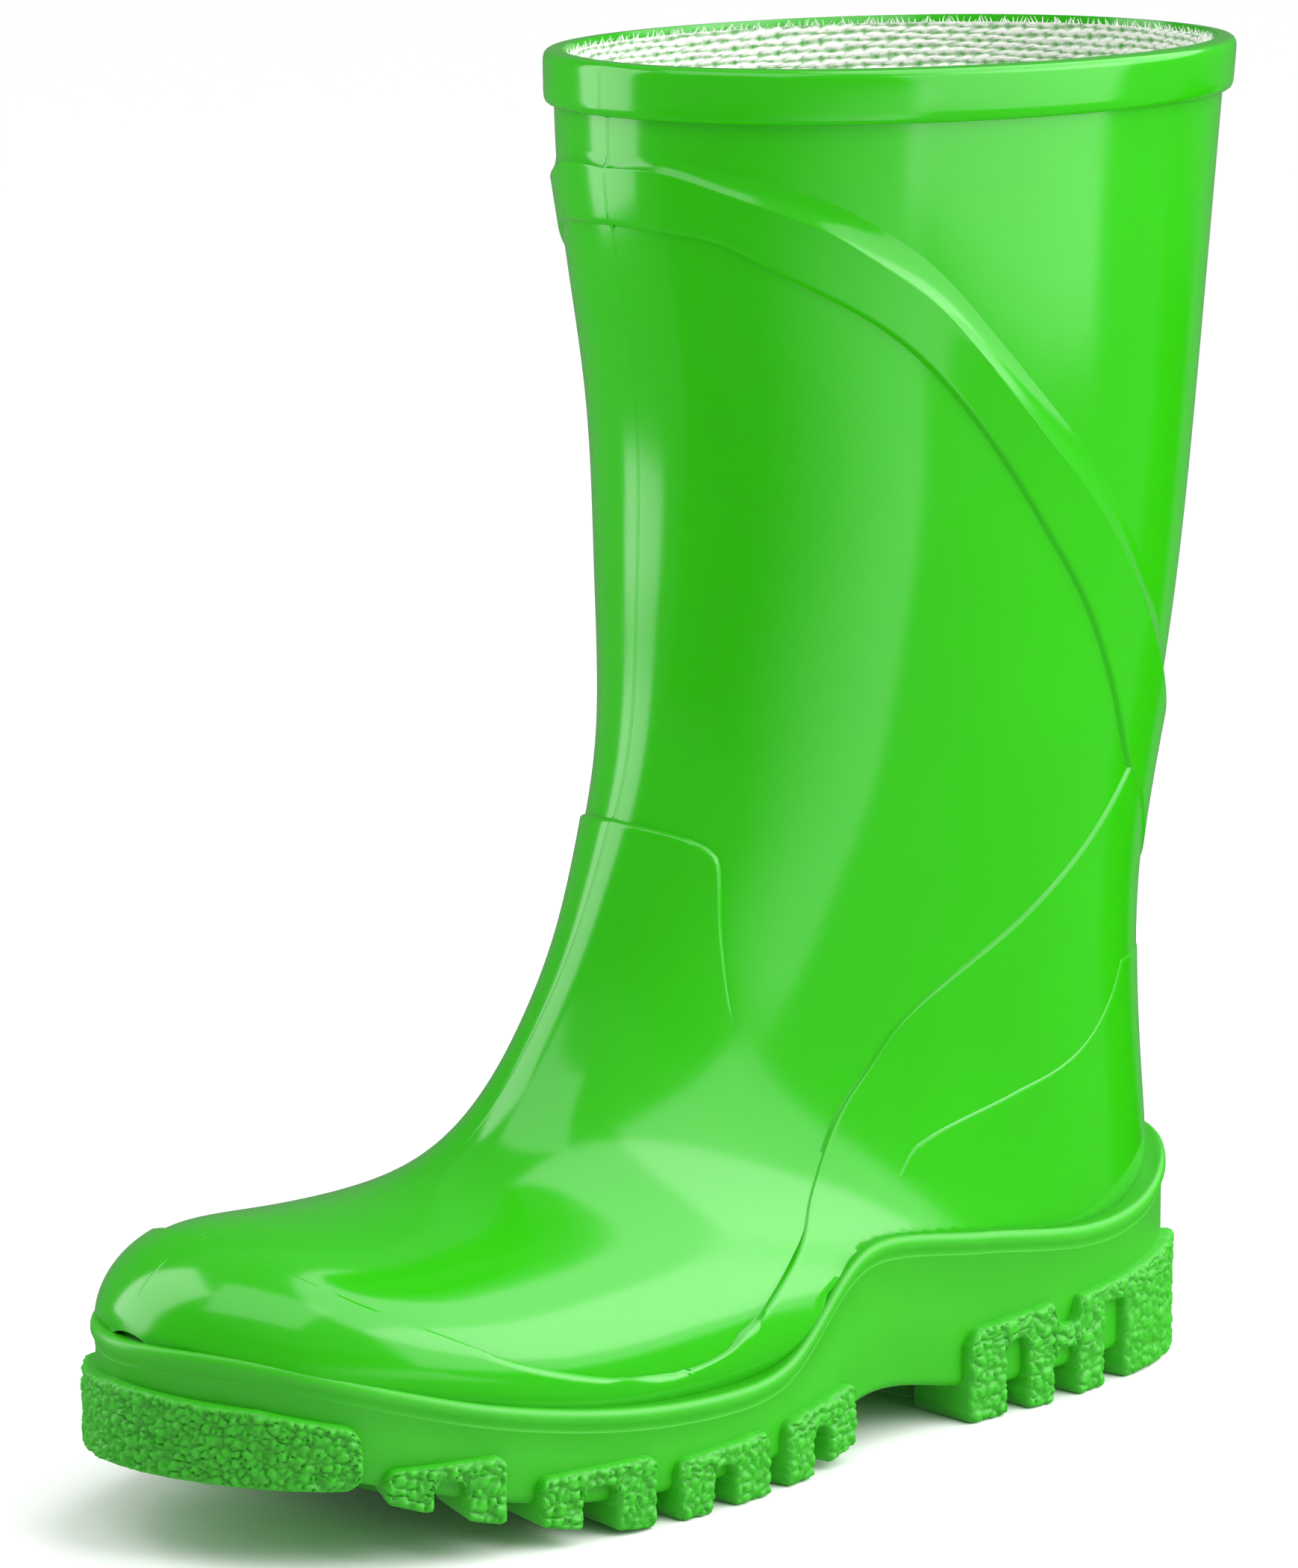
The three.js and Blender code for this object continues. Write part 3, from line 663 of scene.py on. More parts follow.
class RAINBOOT_OT_upper(Operator):
    """Leg and foot: one moulded wall, open at the top"""

    bl_idname = "rain_boot.upper"
    bl_label = "Upper"

    def execute(self, context):
        wall = mm_of("wall")
        places = np.concatenate([np.linspace(0, 5, 61), np.linspace(5, TOE, 91)[1:]])
        rim = [(0.0, -0.35), (-0.012, -0.9), (-0.012, -1.1), (0.0, 0.35 - wall)]
        rows = ([(TOE, 0, True)] + [(r, 0, False) for r in places[::-1]]
                + [(r, out, False) for r, out in rim]
                + [(r, -wall, False) for r in places[1::2]] + [(TOE, -wall, False), (TOE, -wall, True)])

        def place(u, v):
            ring, out, tip = np.array(rows, dtype=float)[np.rint(v * (len(rows) - 1)).astype(int)].T
            drawn_in = np.where(out == 0, IN_SOLE * in_sole(on_upper(ring, u * 360)), out)
            points = on_upper(ring, u * 360, drawn_in)
            middle = (on_upper(ring, 0, out) + on_upper(ring, 180, out)) / 2
            return np.where(tip[:, None] > 0, middle, points)

        bm = laid_grid(240, len(rows) - 1, place)
        finished(bm, "upper_moulding", "upper_pvc", ["upper_shell"])
        return {"FINISHED"}


class RAINBOOT_OT_cuff(Operator):
    """Thick rounded band round the rim"""

    bl_idname = "rain_boot.cuff"
    bl_label = "Cuff band"

    def execute(self, context):
        deep, proud = mm_of("cuff_deep"), mm_of("cuff_proud")
        ring_mm = 28.3  # mm down the leg from a ring to the next, near the rim
        # The band's section as (out, below the rim).
        loop = np.array([(-0.4, 0.1), (0.2, 0), (0.8, 0.05), (1.25, 0.3), (1.6, 0.8), (1.77, 1.5), (1.8, 2.4),
                         (1.8, deep - 2.2), (1.72, deep - 1.1), (1.5, deep - 0.5), (1.1, deep - 0.15),
                         (0.7, deep - 0.02), (-0.4, deep), (-0.4, deep / 2), (-0.4, 0.1)])
        loop[:, 0] = np.where(loop[:, 0] > 0, loop[:, 0] * proud / 1.8, loop[:, 0])

        def place(u, v):
            out, below = loop[np.rint(v * (len(loop) - 1)).astype(int)].T
            return on_upper(below / ring_mm, u * 360, out)

        bm = laid_grid(300, len(loop) - 1, place)
        finished(bm, "cuff_moulding", "upper_pvc", ["cuff_band"], sharp=70)
        return {"FINISHED"}


class RAINBOOT_OT_sweep(Operator):
    """Band that sweeps from the front of the leg down to the heel, crested along its upper edge"""

    bl_idname = "rain_boot.sweep"
    bl_label = "Sweep band"

    def execute(self, context):
        turn = np.linspace(0, 180, 721)
        top, low = lookup(SWEEP_TOP, turn), lookup(SWEEP_LOW, turn)
        ring_mm = 29
        crest = np.interp(turn, [0, 25, 60, 130, 165, 180], [0.62, 0.68, 1, 1, 0.8, 0.75])
        crest = mm_of("sweep_proud") * crest
        # How many mm the concave run-up to the crest is wide, and the height at the lower edge.
        slope = np.interp(turn, [0, 20, 55, 120, 180], [2.2, 3, 6.5, 7, 5])
        foot = np.interp(turn, [0, 40, 110, 150, 180], [0.85, 0.6, 0.75, 0.95, 1])
        # Grid rows from -1 at the run-up's foot over 0 at the crest to 1 near the lower edge. The last few
        # are given in mm from that edge.
        steps = np.concatenate([np.linspace(-1, 0, 11), np.linspace(0, 1, 17)[1:]])
        steps[9], steps[11] = -0.05, 0.03
        edge_mm = np.array([1.5, 1.0, 0.7, 0.45, 0.25, 0.1, 0])
        low_edge = edge_tree(low, turn)

        def place(u, v):
            rows = np.rint(v * (len(steps) + len(edge_mm) - 1)).astype(int)
            angle = np.where(u > 0.5, 1 - u, u) * 360
            t, l, c, w, f = (np.interp(angle, turn, x) for x in (top, low, crest, slope, foot))
            share = steps[np.minimum(rows, len(steps) - 1)]
            wide = (l - t) * ring_mm
            near = edge_mm[np.clip(rows - len(steps), 0, len(edge_mm) - 1)]
            share = share * np.where(share > 0, 1 - 2 / wide, 1)
            share = np.where(rows >= len(steps), 1 - near / wide, share)
            ring = np.where(share < 0, t + share * w / ring_mm, mix(t, l, share))
            above = c * np.maximum(1 + share, 0) ** 2.2
            above = mix(BURIED / 2, above, np.clip((share + 1) / 0.12, 0, 1))
            fall = mix(c, f, np.clip(share, 0, 1) ** 0.8)
            out = np.where(share < 0, above, fall)
            round_off = eased(distance_to(low_edge, on_upper(ring, u * 360)), 0, 1.1)
            return on_upper(ring, u * 360, np.where(share > 0.3, mix(BURIED, out, round_off), out))

        bm = laid_grid(360, len(steps) + len(edge_mm) - 1, place)
        facing(bm, (0, 50, 170))
        backed(bm, BACK)
        finished(bm, "sweep_moulding", "upper_pvc", ["sweep_band"])
        return {"FINISHED"}


class RAINBOOT_OT_vamp(Operator):
    """Shield-shaped panel over the instep, raised a little above the leg"""

    bl_idname = "rain_boot.vamp"
    bl_label = "Vamp panel"

    def execute(self, context):
        shield = dense(VAMP_EDGE, 600)
        tuck = 2.2  # degrees that the panel runs in under the galosh line

        def spot(s, t):
            side = 2 * s - 1
            border = mix(4.86, 10.7, t)
            shield_side = np.interp(border, shield[:, 0], shield[:, 1])
            galosh = np.interp(border, GALOSH[:, 0], GALOSH[:, 1]) + tuck
            wide = np.where(border < 7.43, np.minimum(shield_side, galosh), galosh)
            bow = mix(4.83, 4.86, side**2)
            ring = mix(bow, toe_line(np.abs(side) * 88) + 0.25, t)
            return ring, side * wide

        tree = edge_tree(shield[::4, 0], shield[::4, 1])
        raised("vamp_moulding", "vamp_panel", 90, 96, spot, vamp_height, tree, 0.8)
        return {"FINISHED"}


class RAINBOOT_OT_toe_cap(Operator):
    """Cap over the toes, stepped up from the vamp"""

    bl_idname = "rain_boot.toe_cap"
    bl_label = "Toe cap"

    def execute(self, context):
        def spot(s, t):
            degrees = (2 * s - 1) * LAST_DEGREES
            turn = np.abs(degrees)
            start = np.where(turn < TOE_DEGREES, toe_line(turn), SEAM_RING)
            return mix(start, TOE, t), degrees

        raised("toe_cap_moulding", "toe_cap", 150, 44, spot, galosh_height, galosh_tree(), 0.9)
        return {"FINISHED"}


class RAINBOOT_OT_quarters(Operator):
    """Low zone along each side of the foot, from under the sweep band to the toe cap"""

    bl_idname = "rain_boot.quarters"
    bl_label = "Quarters"

    def execute(self, context):
        for side, node in ((1, "lateral_quarter"), (-1, "medial_quarter")):

            def spot(s, t):
                border = mix(4.05, SEAM_RING, s)
                start = np.interp(border, GALOSH[:, 0], GALOSH[:, 1])
                end = np.interp(border, [4, 6.5, 9, SEAM_RING], [179.9, 179.9, 150, LAST_DEGREES])
                top = mix(4.05, 4.55, t)
                return mix(top, SEAM_RING, s), side * mix(start, end, t)

            raised(node + "_moulding", node, 110, 60, spot, galosh_height, galosh_tree(), 0.9)
        return {"FINISHED"}


class RAINBOOT_OT_counter(Operator):
    """Stiffened zone round the heel, raised very slightly"""

    bl_idname = "rain_boot.counter"
    bl_label = "Heel counter"

    def execute(self, context):
        counter = dense(COUNTER_EDGE)
        over = 0.2  # mm above the quarters

        def spot(s, t):
            border = mix(COUNTER_EDGE[0][0], 8.2, t)
            start = np.interp(border, counter[:, 0], counter[:, 1])
            back = 1 - np.abs(2 * s - 1) ** 4
            return border - 0.12 * back * (1 - t), mix(start, 360 - start, s)

        def height(ring):
            return galosh_height(ring) + over * (1 - 1.4 * eased(ring, 6.6, 8.1))

        back_ring, back_degrees = spot(np.linspace(0, 1, 60) / 2, np.zeros(60))
        ring = np.concatenate([back_ring[::-1], counter[::6, 0]])
        degrees = np.concatenate([back_degrees[::-1], counter[::6, 1]])
        tree = edge_tree(ring, degrees)
        raised("heel_counter_moulding", "heel_counter", 110, 44, spot, height, tree, 1.3)
        return {"FINISHED"}


class RAINBOOT_OT_flash(Operator):
    """Fine raised line that the mould's parting leaves down the front and the back"""

    bl_idname = "rain_boot.flash"
    bl_label = "Parting flash"

    def execute(self, context):
        trees = [ray_tree(name + "_moulding") for name in (
            "upper", "cuff", "sweep", "vamp", "toe_cap", "heel_counter", "lateral_quarter", "medial_quarter")]
        above = 6.0  # mm off the upper at which the rays start, clear of everything laid on it
        # The line's section as (to the side, off the surface).
        across = [(-0.6, -0.06), (-0.22, 0.02), (0, 0.045), (0.22, 0.02), (0.6, -0.06)]
        for name, degrees, last in (("front_flash", 0, 14.0), ("back_flash", 180, 6.6)):
            places = np.linspace(0.01, last, 420)

            def place(u, v):
                ring = places[np.rint(v * (len(places) - 1)).astype(int)]
                offset, height = np.array(across)[np.rint(u * (len(across) - 1)).astype(int)].T
                start = on_upper(ring, degrees, above) + np.outer(offset, (1, 0, 0))
                inward = on_upper(ring, degrees) - on_upper(ring, degrees, above)
                inward /= np.linalg.norm(inward, axis=-1, keepdims=True)
                found = []
                for a, b, h in zip(start, inward, height):
                    depths = [cast(tree, a, b, 2 * above) for tree in trees]
                    found.append(a + b * (min((d for d in depths if d is not None), default=above) - h))
                return np.array(found)

            bm = laid_grid(len(across) - 1, len(places) - 1, place)
            facing(bm, (0, 50, 60))
            backed(bm, 0.4)
            finished(bm, name, "upper_pvc")
        return {"FINISHED"}


# ---- the sole ----

class RAINBOOT_OT_outsole(Operator):
    """Cupped sole with a rounded bead along its lip and a fine moulding line under the bead"""

    bl_idname = "rain_boot.outsole"
    bl_label = "Outsole"

    def execute(self, context):
        tree = ray_tree("upper_moulding")
        bead = mm_of("lip_proud")
        # Rows from the middle of the underside round the wall to the inside of the cup: how far out, which
        # level it is measured from, and how far above that level.
        rows = [(-6, "spine", 0), (-16, "under", 0), (-6, "under", 0), (-2.2, "under", 0), (-1, "under", 0.3),
                (-0.35, "under", 1), (0, "under", 2), (0, "half", 0), (0, "lip", -4.3), (0.13, "lip", -4.1),
                (0.13, "lip", -3.95), (0.04, "lip", -3.8), (0.1, "lip", -3.4), (0.35 * bead, "lip", -2.9),
                (0.75 * bead, "lip", -2.4), (bead, "lip", -1.9), (0.98 * bead, "lip", -1.2),
                (0.75 * bead, "lip", -0.5), (0.3 * bead, "lip", -0.1), (-0.3, "lip", 0), (-0.9, "lip", -0.15),
                (0, "cup", 0), (0, "cup", 0.35), (0, "cup", 0.7), (0, "cup", 1), (-6, "floor", 0)]

        def place(u, v):
            spots = u * SOLE_AROUND
            under, lip = sole_at(spots)[:, 2], sole_at(spots)[:, 3]
            points = np.zeros((len(u), 3))
            for i, (out, level, lift) in enumerate(rows):
                here = np.rint(v * (len(rows) - 1)).astype(int) == i
                p, un, li = spots[here], under[here], lip[here]
                if level in ("spine", "floor"):
                    z = un if level == "spine" else un + 3
                    points[here] = (on_sole(p, out, z) + on_sole(SOLE_AROUND - p, out, z)) / 2
                elif level == "cup":
                    z = mix(li - 0.35, np.maximum(un + 3, 13), lift)
                    start, inward = on_sole(p, 5.0, z), on_sole(p, 0.0, z) - on_sole(p, 1.0, z)
                    depths = [cast(tree, a, b, 16) for a, b in zip(start, inward)]
                    depths = np.array([8.5 if d is None else d + 0.5 for d in depths])
                    points[here] = start + inward * depths[:, None]
                else:
                    z = {"under": un, "half": (un + li) / 2, "lip": li}[level] + lift
                    points[here] = on_sole(p, out, z)
            return points

        bm = laid_grid(8 * SOLE_AROUND, len(rows) - 1, place)
        finished(bm, "outsole_moulding", "sole_pvc", ["outsole"], sharp=65)
        return {"FINISHED"}


def grain(point, cell, depth):
    """Height of the pebbled grain at a point in mm, and 0 in the cracks to 1 on a pebble, the mask of the
    shade painted into the cracks.
    """
    wobble = noise.noise_vector(point / 1.7) * 0.5
    near, centres = noise.voronoi((point + wobble) / cell)
    pebble = min((near[1] - near[0]) / 0.32, 1)
    tilt = noise.noise(centres[0] * 7.3)
    fine = noise.noise(point * 1.4)
    return depth * (pebble**0.6 - 0.5 + 0.45 * tilt + 0.18 * fine), pebble


LUG_GRID = 0.42  # mm between the points of a lug's grid


def lug(name, node, places, low, bridge, top, gone, side, cell, reach):
    """A pebbled block on the sole's wall: columns at places along it, rows from low over bridge to top.
    Columns marked gone are open below the bridge. The block runs in by reach under the sole."""
    count = len(places) - 1
    below = int(np.ceil(np.max(bridge - low) / LUG_GRID))
    over = int(np.ceil(np.max(top - bridge) / LUG_GRID))
    proud, depth = mm_of("lug_proud"), mm_of("pebble")

    bm = bmesh.new()
    bmesh.ops.create_grid(bm, x_segments=count, y_segments=below + over, size=0.5)
    uv = points_of(bm.verts)[:, :2] + 0.5
    i, j = np.rint(uv * (count, below + over)).astype(int).T
    z = np.where(j < below, mix(low[i], bridge[i], j / below), mix(bridge[i], top[i], (j - below) / over))
    spot = places[i] if side > 0 else SOLE_AROUND - places[i]
    place_layer = bm.verts.layers.float.new("place")
    for vert, s, point in zip(bm.verts, spot, on_sole(spot, proud, z)):
        vert.co, vert[place_layer] = point, s
    cell_of = dict(zip(bm.verts, zip(i, j)))
    open_faces = []
    for face in bm.faces:
        column = min(cell_of[v][0] for v in face.verts)
        row = max(cell_of[v][1] for v in face.verts)
        if row <= below and gone[column]:
            open_faces.append(face)
    bmesh.ops.delete(bm, geom=open_faces, context="FACES")
    # 0 in the cracks to 1 on the pebbles: where the lugs' material paints shade into the cracks, kept at 1
    #                                      near the lug's edges.
    pebble_layer = bm.verts.layers.float.new("pebble")
    border = line_tree([v.co.copy() for v in bm.verts if v.is_boundary])
    for vert in bm.verts:
        shoulder = float(rise(border.find(vert.co)[2], 1.1))
        height, pebble = grain(vert.co, cell, depth)
        vert[pebble_layer] = mix(1, pebble, shoulder)
        out = proud - 0.9 * (1 - shoulder) + height * (0.35 + 0.65 * shoulder)
        vert.co = on_sole(vert[place_layer], out, vert.co.z)
    for vert in extruded(bm):
        vert.co = on_sole(vert[place_layer], -reach, vert.co.z)
        vert[pebble_layer] = 1
    finished(bm, name, "lug_pvc", [node], sharp=75)


def rounding(distance, radius):
    """How far a round corner's edge falls back at a distance from its end."""
    d = np.clip(distance, 0, radius)
    return radius - np.sqrt(radius**2 - (radius - d) ** 2)


def tread(y):
    """Height of the tread's lower ends at y."""
    return np.interp(y, *np.transpose(TREAD))


def legged_lug(name, node, plan, side, cell):
    """A lug whose legs are joined by bridges at their upper ends."""
    corner, shoulder, slack = 1.4, 2.2, 1e-6
    cuts = [y for leg in plan["legs"] for y in leg]
    ys, gone = [cuts[0]], []
    for k, (a, b) in enumerate(zip(cuts, cuts[1:])):
        n = int(np.ceil((b - a) / LUG_GRID))
        ys.extend(np.linspace(a, b, n + 1)[1:])
        gone.extend([k % 2 == 1] * n)
    ys = np.array(ys)

    def inside(a, b):
        """Which columns lie from a to b, and how far each is from the nearer end."""
        return (ys >= a - slack) & (ys <= b + slack), np.minimum(ys - a, b - ys)

    gaps = list(zip(cuts[1:-1:2], cuts[2::2]))
    bridge = np.interp(ys, [np.mean(gap) for gap in gaps], plan["gaps"])
    for gap, level in zip(gaps, plan["gaps"]):
        here, from_end = inside(*gap)
        bridge[here] = level - rounding(from_end[here], corner)
    from_leg = np.min([np.where(*inside(*leg), 9) for leg in plan["legs"]], axis=0)
    low = tread(ys) + rounding(from_leg, corner)
    top = np.interp(ys, *np.transpose(plan["top"])) - rounding(np.minimum(ys - ys[0], ys[-1] - ys), shoulder)
    top = np.maximum(top, bridge + 1)
    lug(name, node, sole_place(ys), low, bridge, top, gone, side, cell, mm_of("lug_reach"))


class RAINBOOT_OT_lugs(Operator):
    """Pebbled lugs along both sides of the sole and round the heel"""

    bl_idname = "rain_boot.lugs"
    bl_label = "Side lugs"

    def execute(self, context):
        for side, word in ((1, "lateral"), (-1, "medial")):
            for i, plan in enumerate(SIDE_LUGS):
                legged_lug(f"{word}_lug_{i + 1}_pebbled", f"{word}_lug_{i + 1}", plan, side, 1.9)
            legged_lug(f"{word}_heel_lug_pebbled", f"{word}_heel_lug", HEEL_LUG, side, 2.2)
        return {"FINISHED"}


class RAINBOOT_OT_bumper(Operator):
    """Pebbled bumper that wraps the toe"""

    bl_idname = "rain_boot.bumper"
    bl_label = "Toe bumper"

    def execute(self, context):
        reach = float(sole_place(BUMPER["end"]))
        places = np.linspace(-reach, reach, 210)
        turn = np.abs(places) / reach
        steps = np.linalg.norm(np.diff(on_sole(places, 2.0, 0.0), axis=0), axis=1)
        walked = np.concatenate([[0], np.cumsum(steps)])
        from_end = np.minimum(walked, walked[-1] - walked)
        top = np.interp(turn, [0, 0.6, 1], BUMPER["top"]) - rounding(from_end, 3.5)
        low = BUMPER["low"] + 1.5 * (1 - turn) + rounding(from_end, 3.5)
        whole = [False] * len(places)
        lug("toe_bumper_pebbled", "toe_bumper", places, low, (low + top) / 2, top, whole, 1, 1.5, 4)
        return {"FINISHED"}


class RAINBOOT_OT_bars(Operator):
    """Chevron bars across the middle of the tread"""

    bl_idname = "rain_boot.bars"
    bl_label = "Tread bars"

    def execute(self, context):
        sweep, depth = 4, 8  # mm that the chevron's middle lies ahead of its ends, and that a bar is thick
        for word, bars in (("forefoot", FOREFOOT_BARS), ("heel", HEEL_BARS)):
            for i, (y, half_length, width) in enumerate(bars):
                level = float(tread(y))

                def place(u, v):
                    across = 2 * u - 1
                    along = y + (v - 0.5) * width - sweep * (1 - np.abs(across))
                    return np.stack([across * half_length, along, np.full(len(u), level)], axis=-1)

                bm = laid_grid(8, 2, place)
                slab(bm, depth, 0.8, 1)
                node = f"{word}_bar_{i + 1}"
                finished(bm, node + "_moulding", "sole_pvc", [node], sharp=40)
        return {"FINISHED"}


# ---- inside ----

COURSE = 1.45  # mm between courses of the knit
WALE = 1.7  # mm between stitches along a course
KNIT_END = 3.2  # ring below which nobody sees the loops, and the lining is smooth


class RAINBOOT_OT_lining(Operator):
    """Knitted sock glued inside the upper, with a frayed edge just under the rim"""

    bl_idname = "rain_boot.lining"
    bl_label = "Lining"

    def execute(self, context):
        glued = mm_of("wall") + 0.25
        thick = mm_of("lining")
        start = 0.05
        fine = np.concatenate([np.linspace(start, 1.05, 92), np.linspace(1.05, KNIT_END, 110)[1:]])
        rest = np.linspace(KNIT_END, TOE - 0.1, 46)[1:]
        # Rows as (ring, mm in from the upper): down the face and back up the side that is glued.
        rows = [(start + 0.3, glued), (start, glued + 0.15)]
        rows += [(r, glued + thick) for r in (*fine, *rest)]
        rows += [(r, glued) for r in (*rest[::-1], *np.linspace(KNIT_END, 0.4, 25))]
        rows = np.array(rows + [rows[0]])
        around, ring_mm = 300, 28.5

        def knit(ring, u):
            """Height of the loops from 0 to 1: courses that wander, with stitches leaning one way."""
            run, fall = u * 330, ring * ring_mm
            wander = 0.3 * np.sin(run / 9 + fall / 2) + 0.16 * np.sin(run / 2.3 + fall * 1.9)
            wander = wander + 0.4 * np.sin(run / 31)
            course = (fall + wander) / COURSE
            ridge = 0.5 + 0.5 * np.cos(2 * np.pi * course)
            stitch = 0.5 + 0.5 * np.cos(2 * np.pi * (run / WALE + 0.5 * np.floor(course)) + 1.5 * ridge)
            loose = 0.5 + 0.5 * np.sin(run * 1.31 + 3 * np.sin(fall * 2.1)) * np.sin(fall * 1.7 + run / 3.7)
            return (0.25 + 0.75 * ridge) * (0.3 + 0.7 * stitch) * (0.7 + 0.3 * loose)

        def place(u, v):
            ring, out = rows[np.rint(v * (len(rows) - 1)).astype(int)].T
            loops = np.where((ring < KNIT_END) & (out > glued + 0.5), knit(ring, u) - 0.4, 0)
            return on_upper(ring, u * 360, -(out + 0.55 * loops))

        bm = laid_grid(around, len(rows) - 1, place)
        # The loop layer holds the loops' height, from which the knit's material paints shade into the low
        # gaps between the yarns.
        loop_layer = bm.verts.layers.float.new("loop")
        for vert in bm.verts:
            vert[loop_layer] = 0.85
        # Merging has reordered the grid, so each vertex of the face is found again by its place.
        known = dict(zip(map(tuple, np.rint(points_of(bm.verts) * 50)), bm.verts))
        ring, turn = (x.ravel() for x in np.meshgrid(fine, np.linspace(0, 1, around + 1)))
        height = knit(ring, turn)
        points = np.rint(on_upper(ring, turn * 360, -(glued + thick + 0.55 * (height - 0.4))) * 50)
        for point, h in zip(points, height):
            found = known.get(tuple(point))
            if found is not None:
                found[loop_layer] = h
        finished(bm, "lining_knit", "knit", ["knit_lining"])
        self.fringe(glued, start)
        return {"FINISHED"}

    def fringe(self, glued, start):
        """Cut ends of yarn along the lining's top edge."""
        bm = bmesh.new()
        ends = 520
        for i in range(ends):
            turn = i / ends * 360 + 0.6 * math.sin(i * 12.9)
            lean = 0.9 * math.sin(i * 7.1)
            length = 0.9 + 0.8 * abs(math.sin(i * 3.7))
            root = Vector(on_upper(start + 0.02, turn, -(glued + 0.45 + 0.3 * math.sin(i * 5.3))))
            tip = Vector(on_upper(start, turn + lean, -(glued + 0.9 + 0.8 * math.sin(i * 2.3))))
            tip.z = root.z + length
            along = tip - root
            made = bmesh.ops.create_cone(bm, cap_ends=True, segments=4, radius1=0.17, radius2=0.05,
                                         depth=along.length)
            bmesh.ops.rotate(bm, verts=made["verts"], cent=(0, 0, 0),
                             matrix=Vector((0, 0, 1)).rotation_difference(along).to_matrix())
            bmesh.ops.translate(bm, verts=made["verts"], vec=(root + tip) / 2)
        layer = bm.verts.layers.float.new("loop")
        for vert in bm.verts:
            vert[layer] = 0.9
        finished(bm, "lining_fringe", "knit")


class RAINBOOT_OT_insole(Operator):
    """Loose felt insole, cut to the foot and lying on the lining's floor"""

    bl_idname = "rain_boot.insole"
    bl_label = "Insole"

    def execute(self, context):
        margin, thick, start_y, end_y = 10.5, mm_of("insole"), -98, 96.5
        inside = 33  # a height inside the lining all over the insole
        low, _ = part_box("insole")
        tree = ray_tree("lining_knit")

        def place(u, v):
            t = 0.5 - 0.5 * np.cos(np.pi * v)
            y = mix(start_y, end_y, t)
            station = sole_place(y / 0.92)
            right = sole_at(station)[:, 0] - margin
            left = sole_at(SOLE_AROUND - station)[:, 0] + margin
            ends = np.sqrt(np.clip(1 - (2 * v - 1) ** 16, 0, 1))
            across = 2 * u - 1
            x = np.where(across > 0, right, -left) * across * np.maximum(ends, 0.02)
            floor = []
            for a, b in zip(x, y):
                depth = cast(tree, (a, b, inside), (0, 0, -1), inside)
                floor.append(low[2] / MM if depth is None else inside - depth + 0.35)
            return np.stack([x, y, floor], axis=-1)

        bm = laid_grid(36, 110, place)
        slab(bm, thick, 0.7, 0.9)
        finished(bm, "insole_felt", "felt", ["insole"], body="insole", sharp=60)
        return {"FINISHED"}


# ---- the studio ----

CENTRE = Vector((0, -0.0007, 0.1153))
VIEW_AZIMUTH, VIEW_ELEVATION, VIEW_DISTANCE = math.radians(50), math.radians(11.05), 1.2


def round_boot(turn, height, distance):
    """Place round the boot: turn is in degrees from the camera's side, positive to the camera's right."""
    angle = VIEW_AZIMUTH + math.radians(turn)
    return Vector((math.sin(angle) * distance, -math.cos(angle) * distance, height))


def lamp(name, light, place, aim):
    """Hangs a light at place, pointing at aim."""
    hung = bpy.data.objects.new(name, light)
    hung.location = place
    hung.rotation_euler = (Vector(aim) - Vector(place)).to_track_quat("-Z", "Y").to_euler()
    bpy.context.scene.collection.objects.link(hung)
    return hung


def soft_box(name, place, aim, size, radiance):
    """A rectangular soft box of an even radiance, out of the camera's sight."""
    light = bpy.data.lights.new(name, "AREA")
    light.shape = "RECTANGLE"
    light.size, light.size_y = size
    light.energy = radiance * math.pi * size[0] * size[1]
    lamp(name, light, place, aim).visible_camera = False


def graded_flag(first, last):
    """Matt cloth that fades from black to white between two turns round the boot, in degrees."""
    material, tree, shader, coords = new_material("graded_flag", {"Roughness": 1, "Specular IOR Level": 0})
    turned = add(tree, "ShaderNodeTexGradient", {"gradient_type": "RADIAL"},
                 {"Vector": coords.outputs["Object"]})
    start, end = ((math.degrees(VIEW_AZIMUTH) + turn + 90) / 360 for turn in (first, last))
    ends = {"interpolation_type": "SMOOTHSTEP", "From Min": start, "From Max": end}
    tinted(tree, shader, ranged(tree, turned.outputs["Fac"], ends), (0.004, 0.004, 0.004), (0.9, 0.9, 0.9))
    return material


def flat_stage(name, bm, material, height):
    """A flat piece of the studio at a height, in metres."""
    bmesh.ops.translate(bm, verts=bm.verts, vec=(0, 0, height))
    mesh = bpy.data.meshes.new(name)
    bm.to_mesh(mesh)
    bm.free()
    mesh.materials.append(material)
    made = bpy.data.objects.new(name, mesh)
    bpy.context.scene.collection.objects.link(made)
    return made


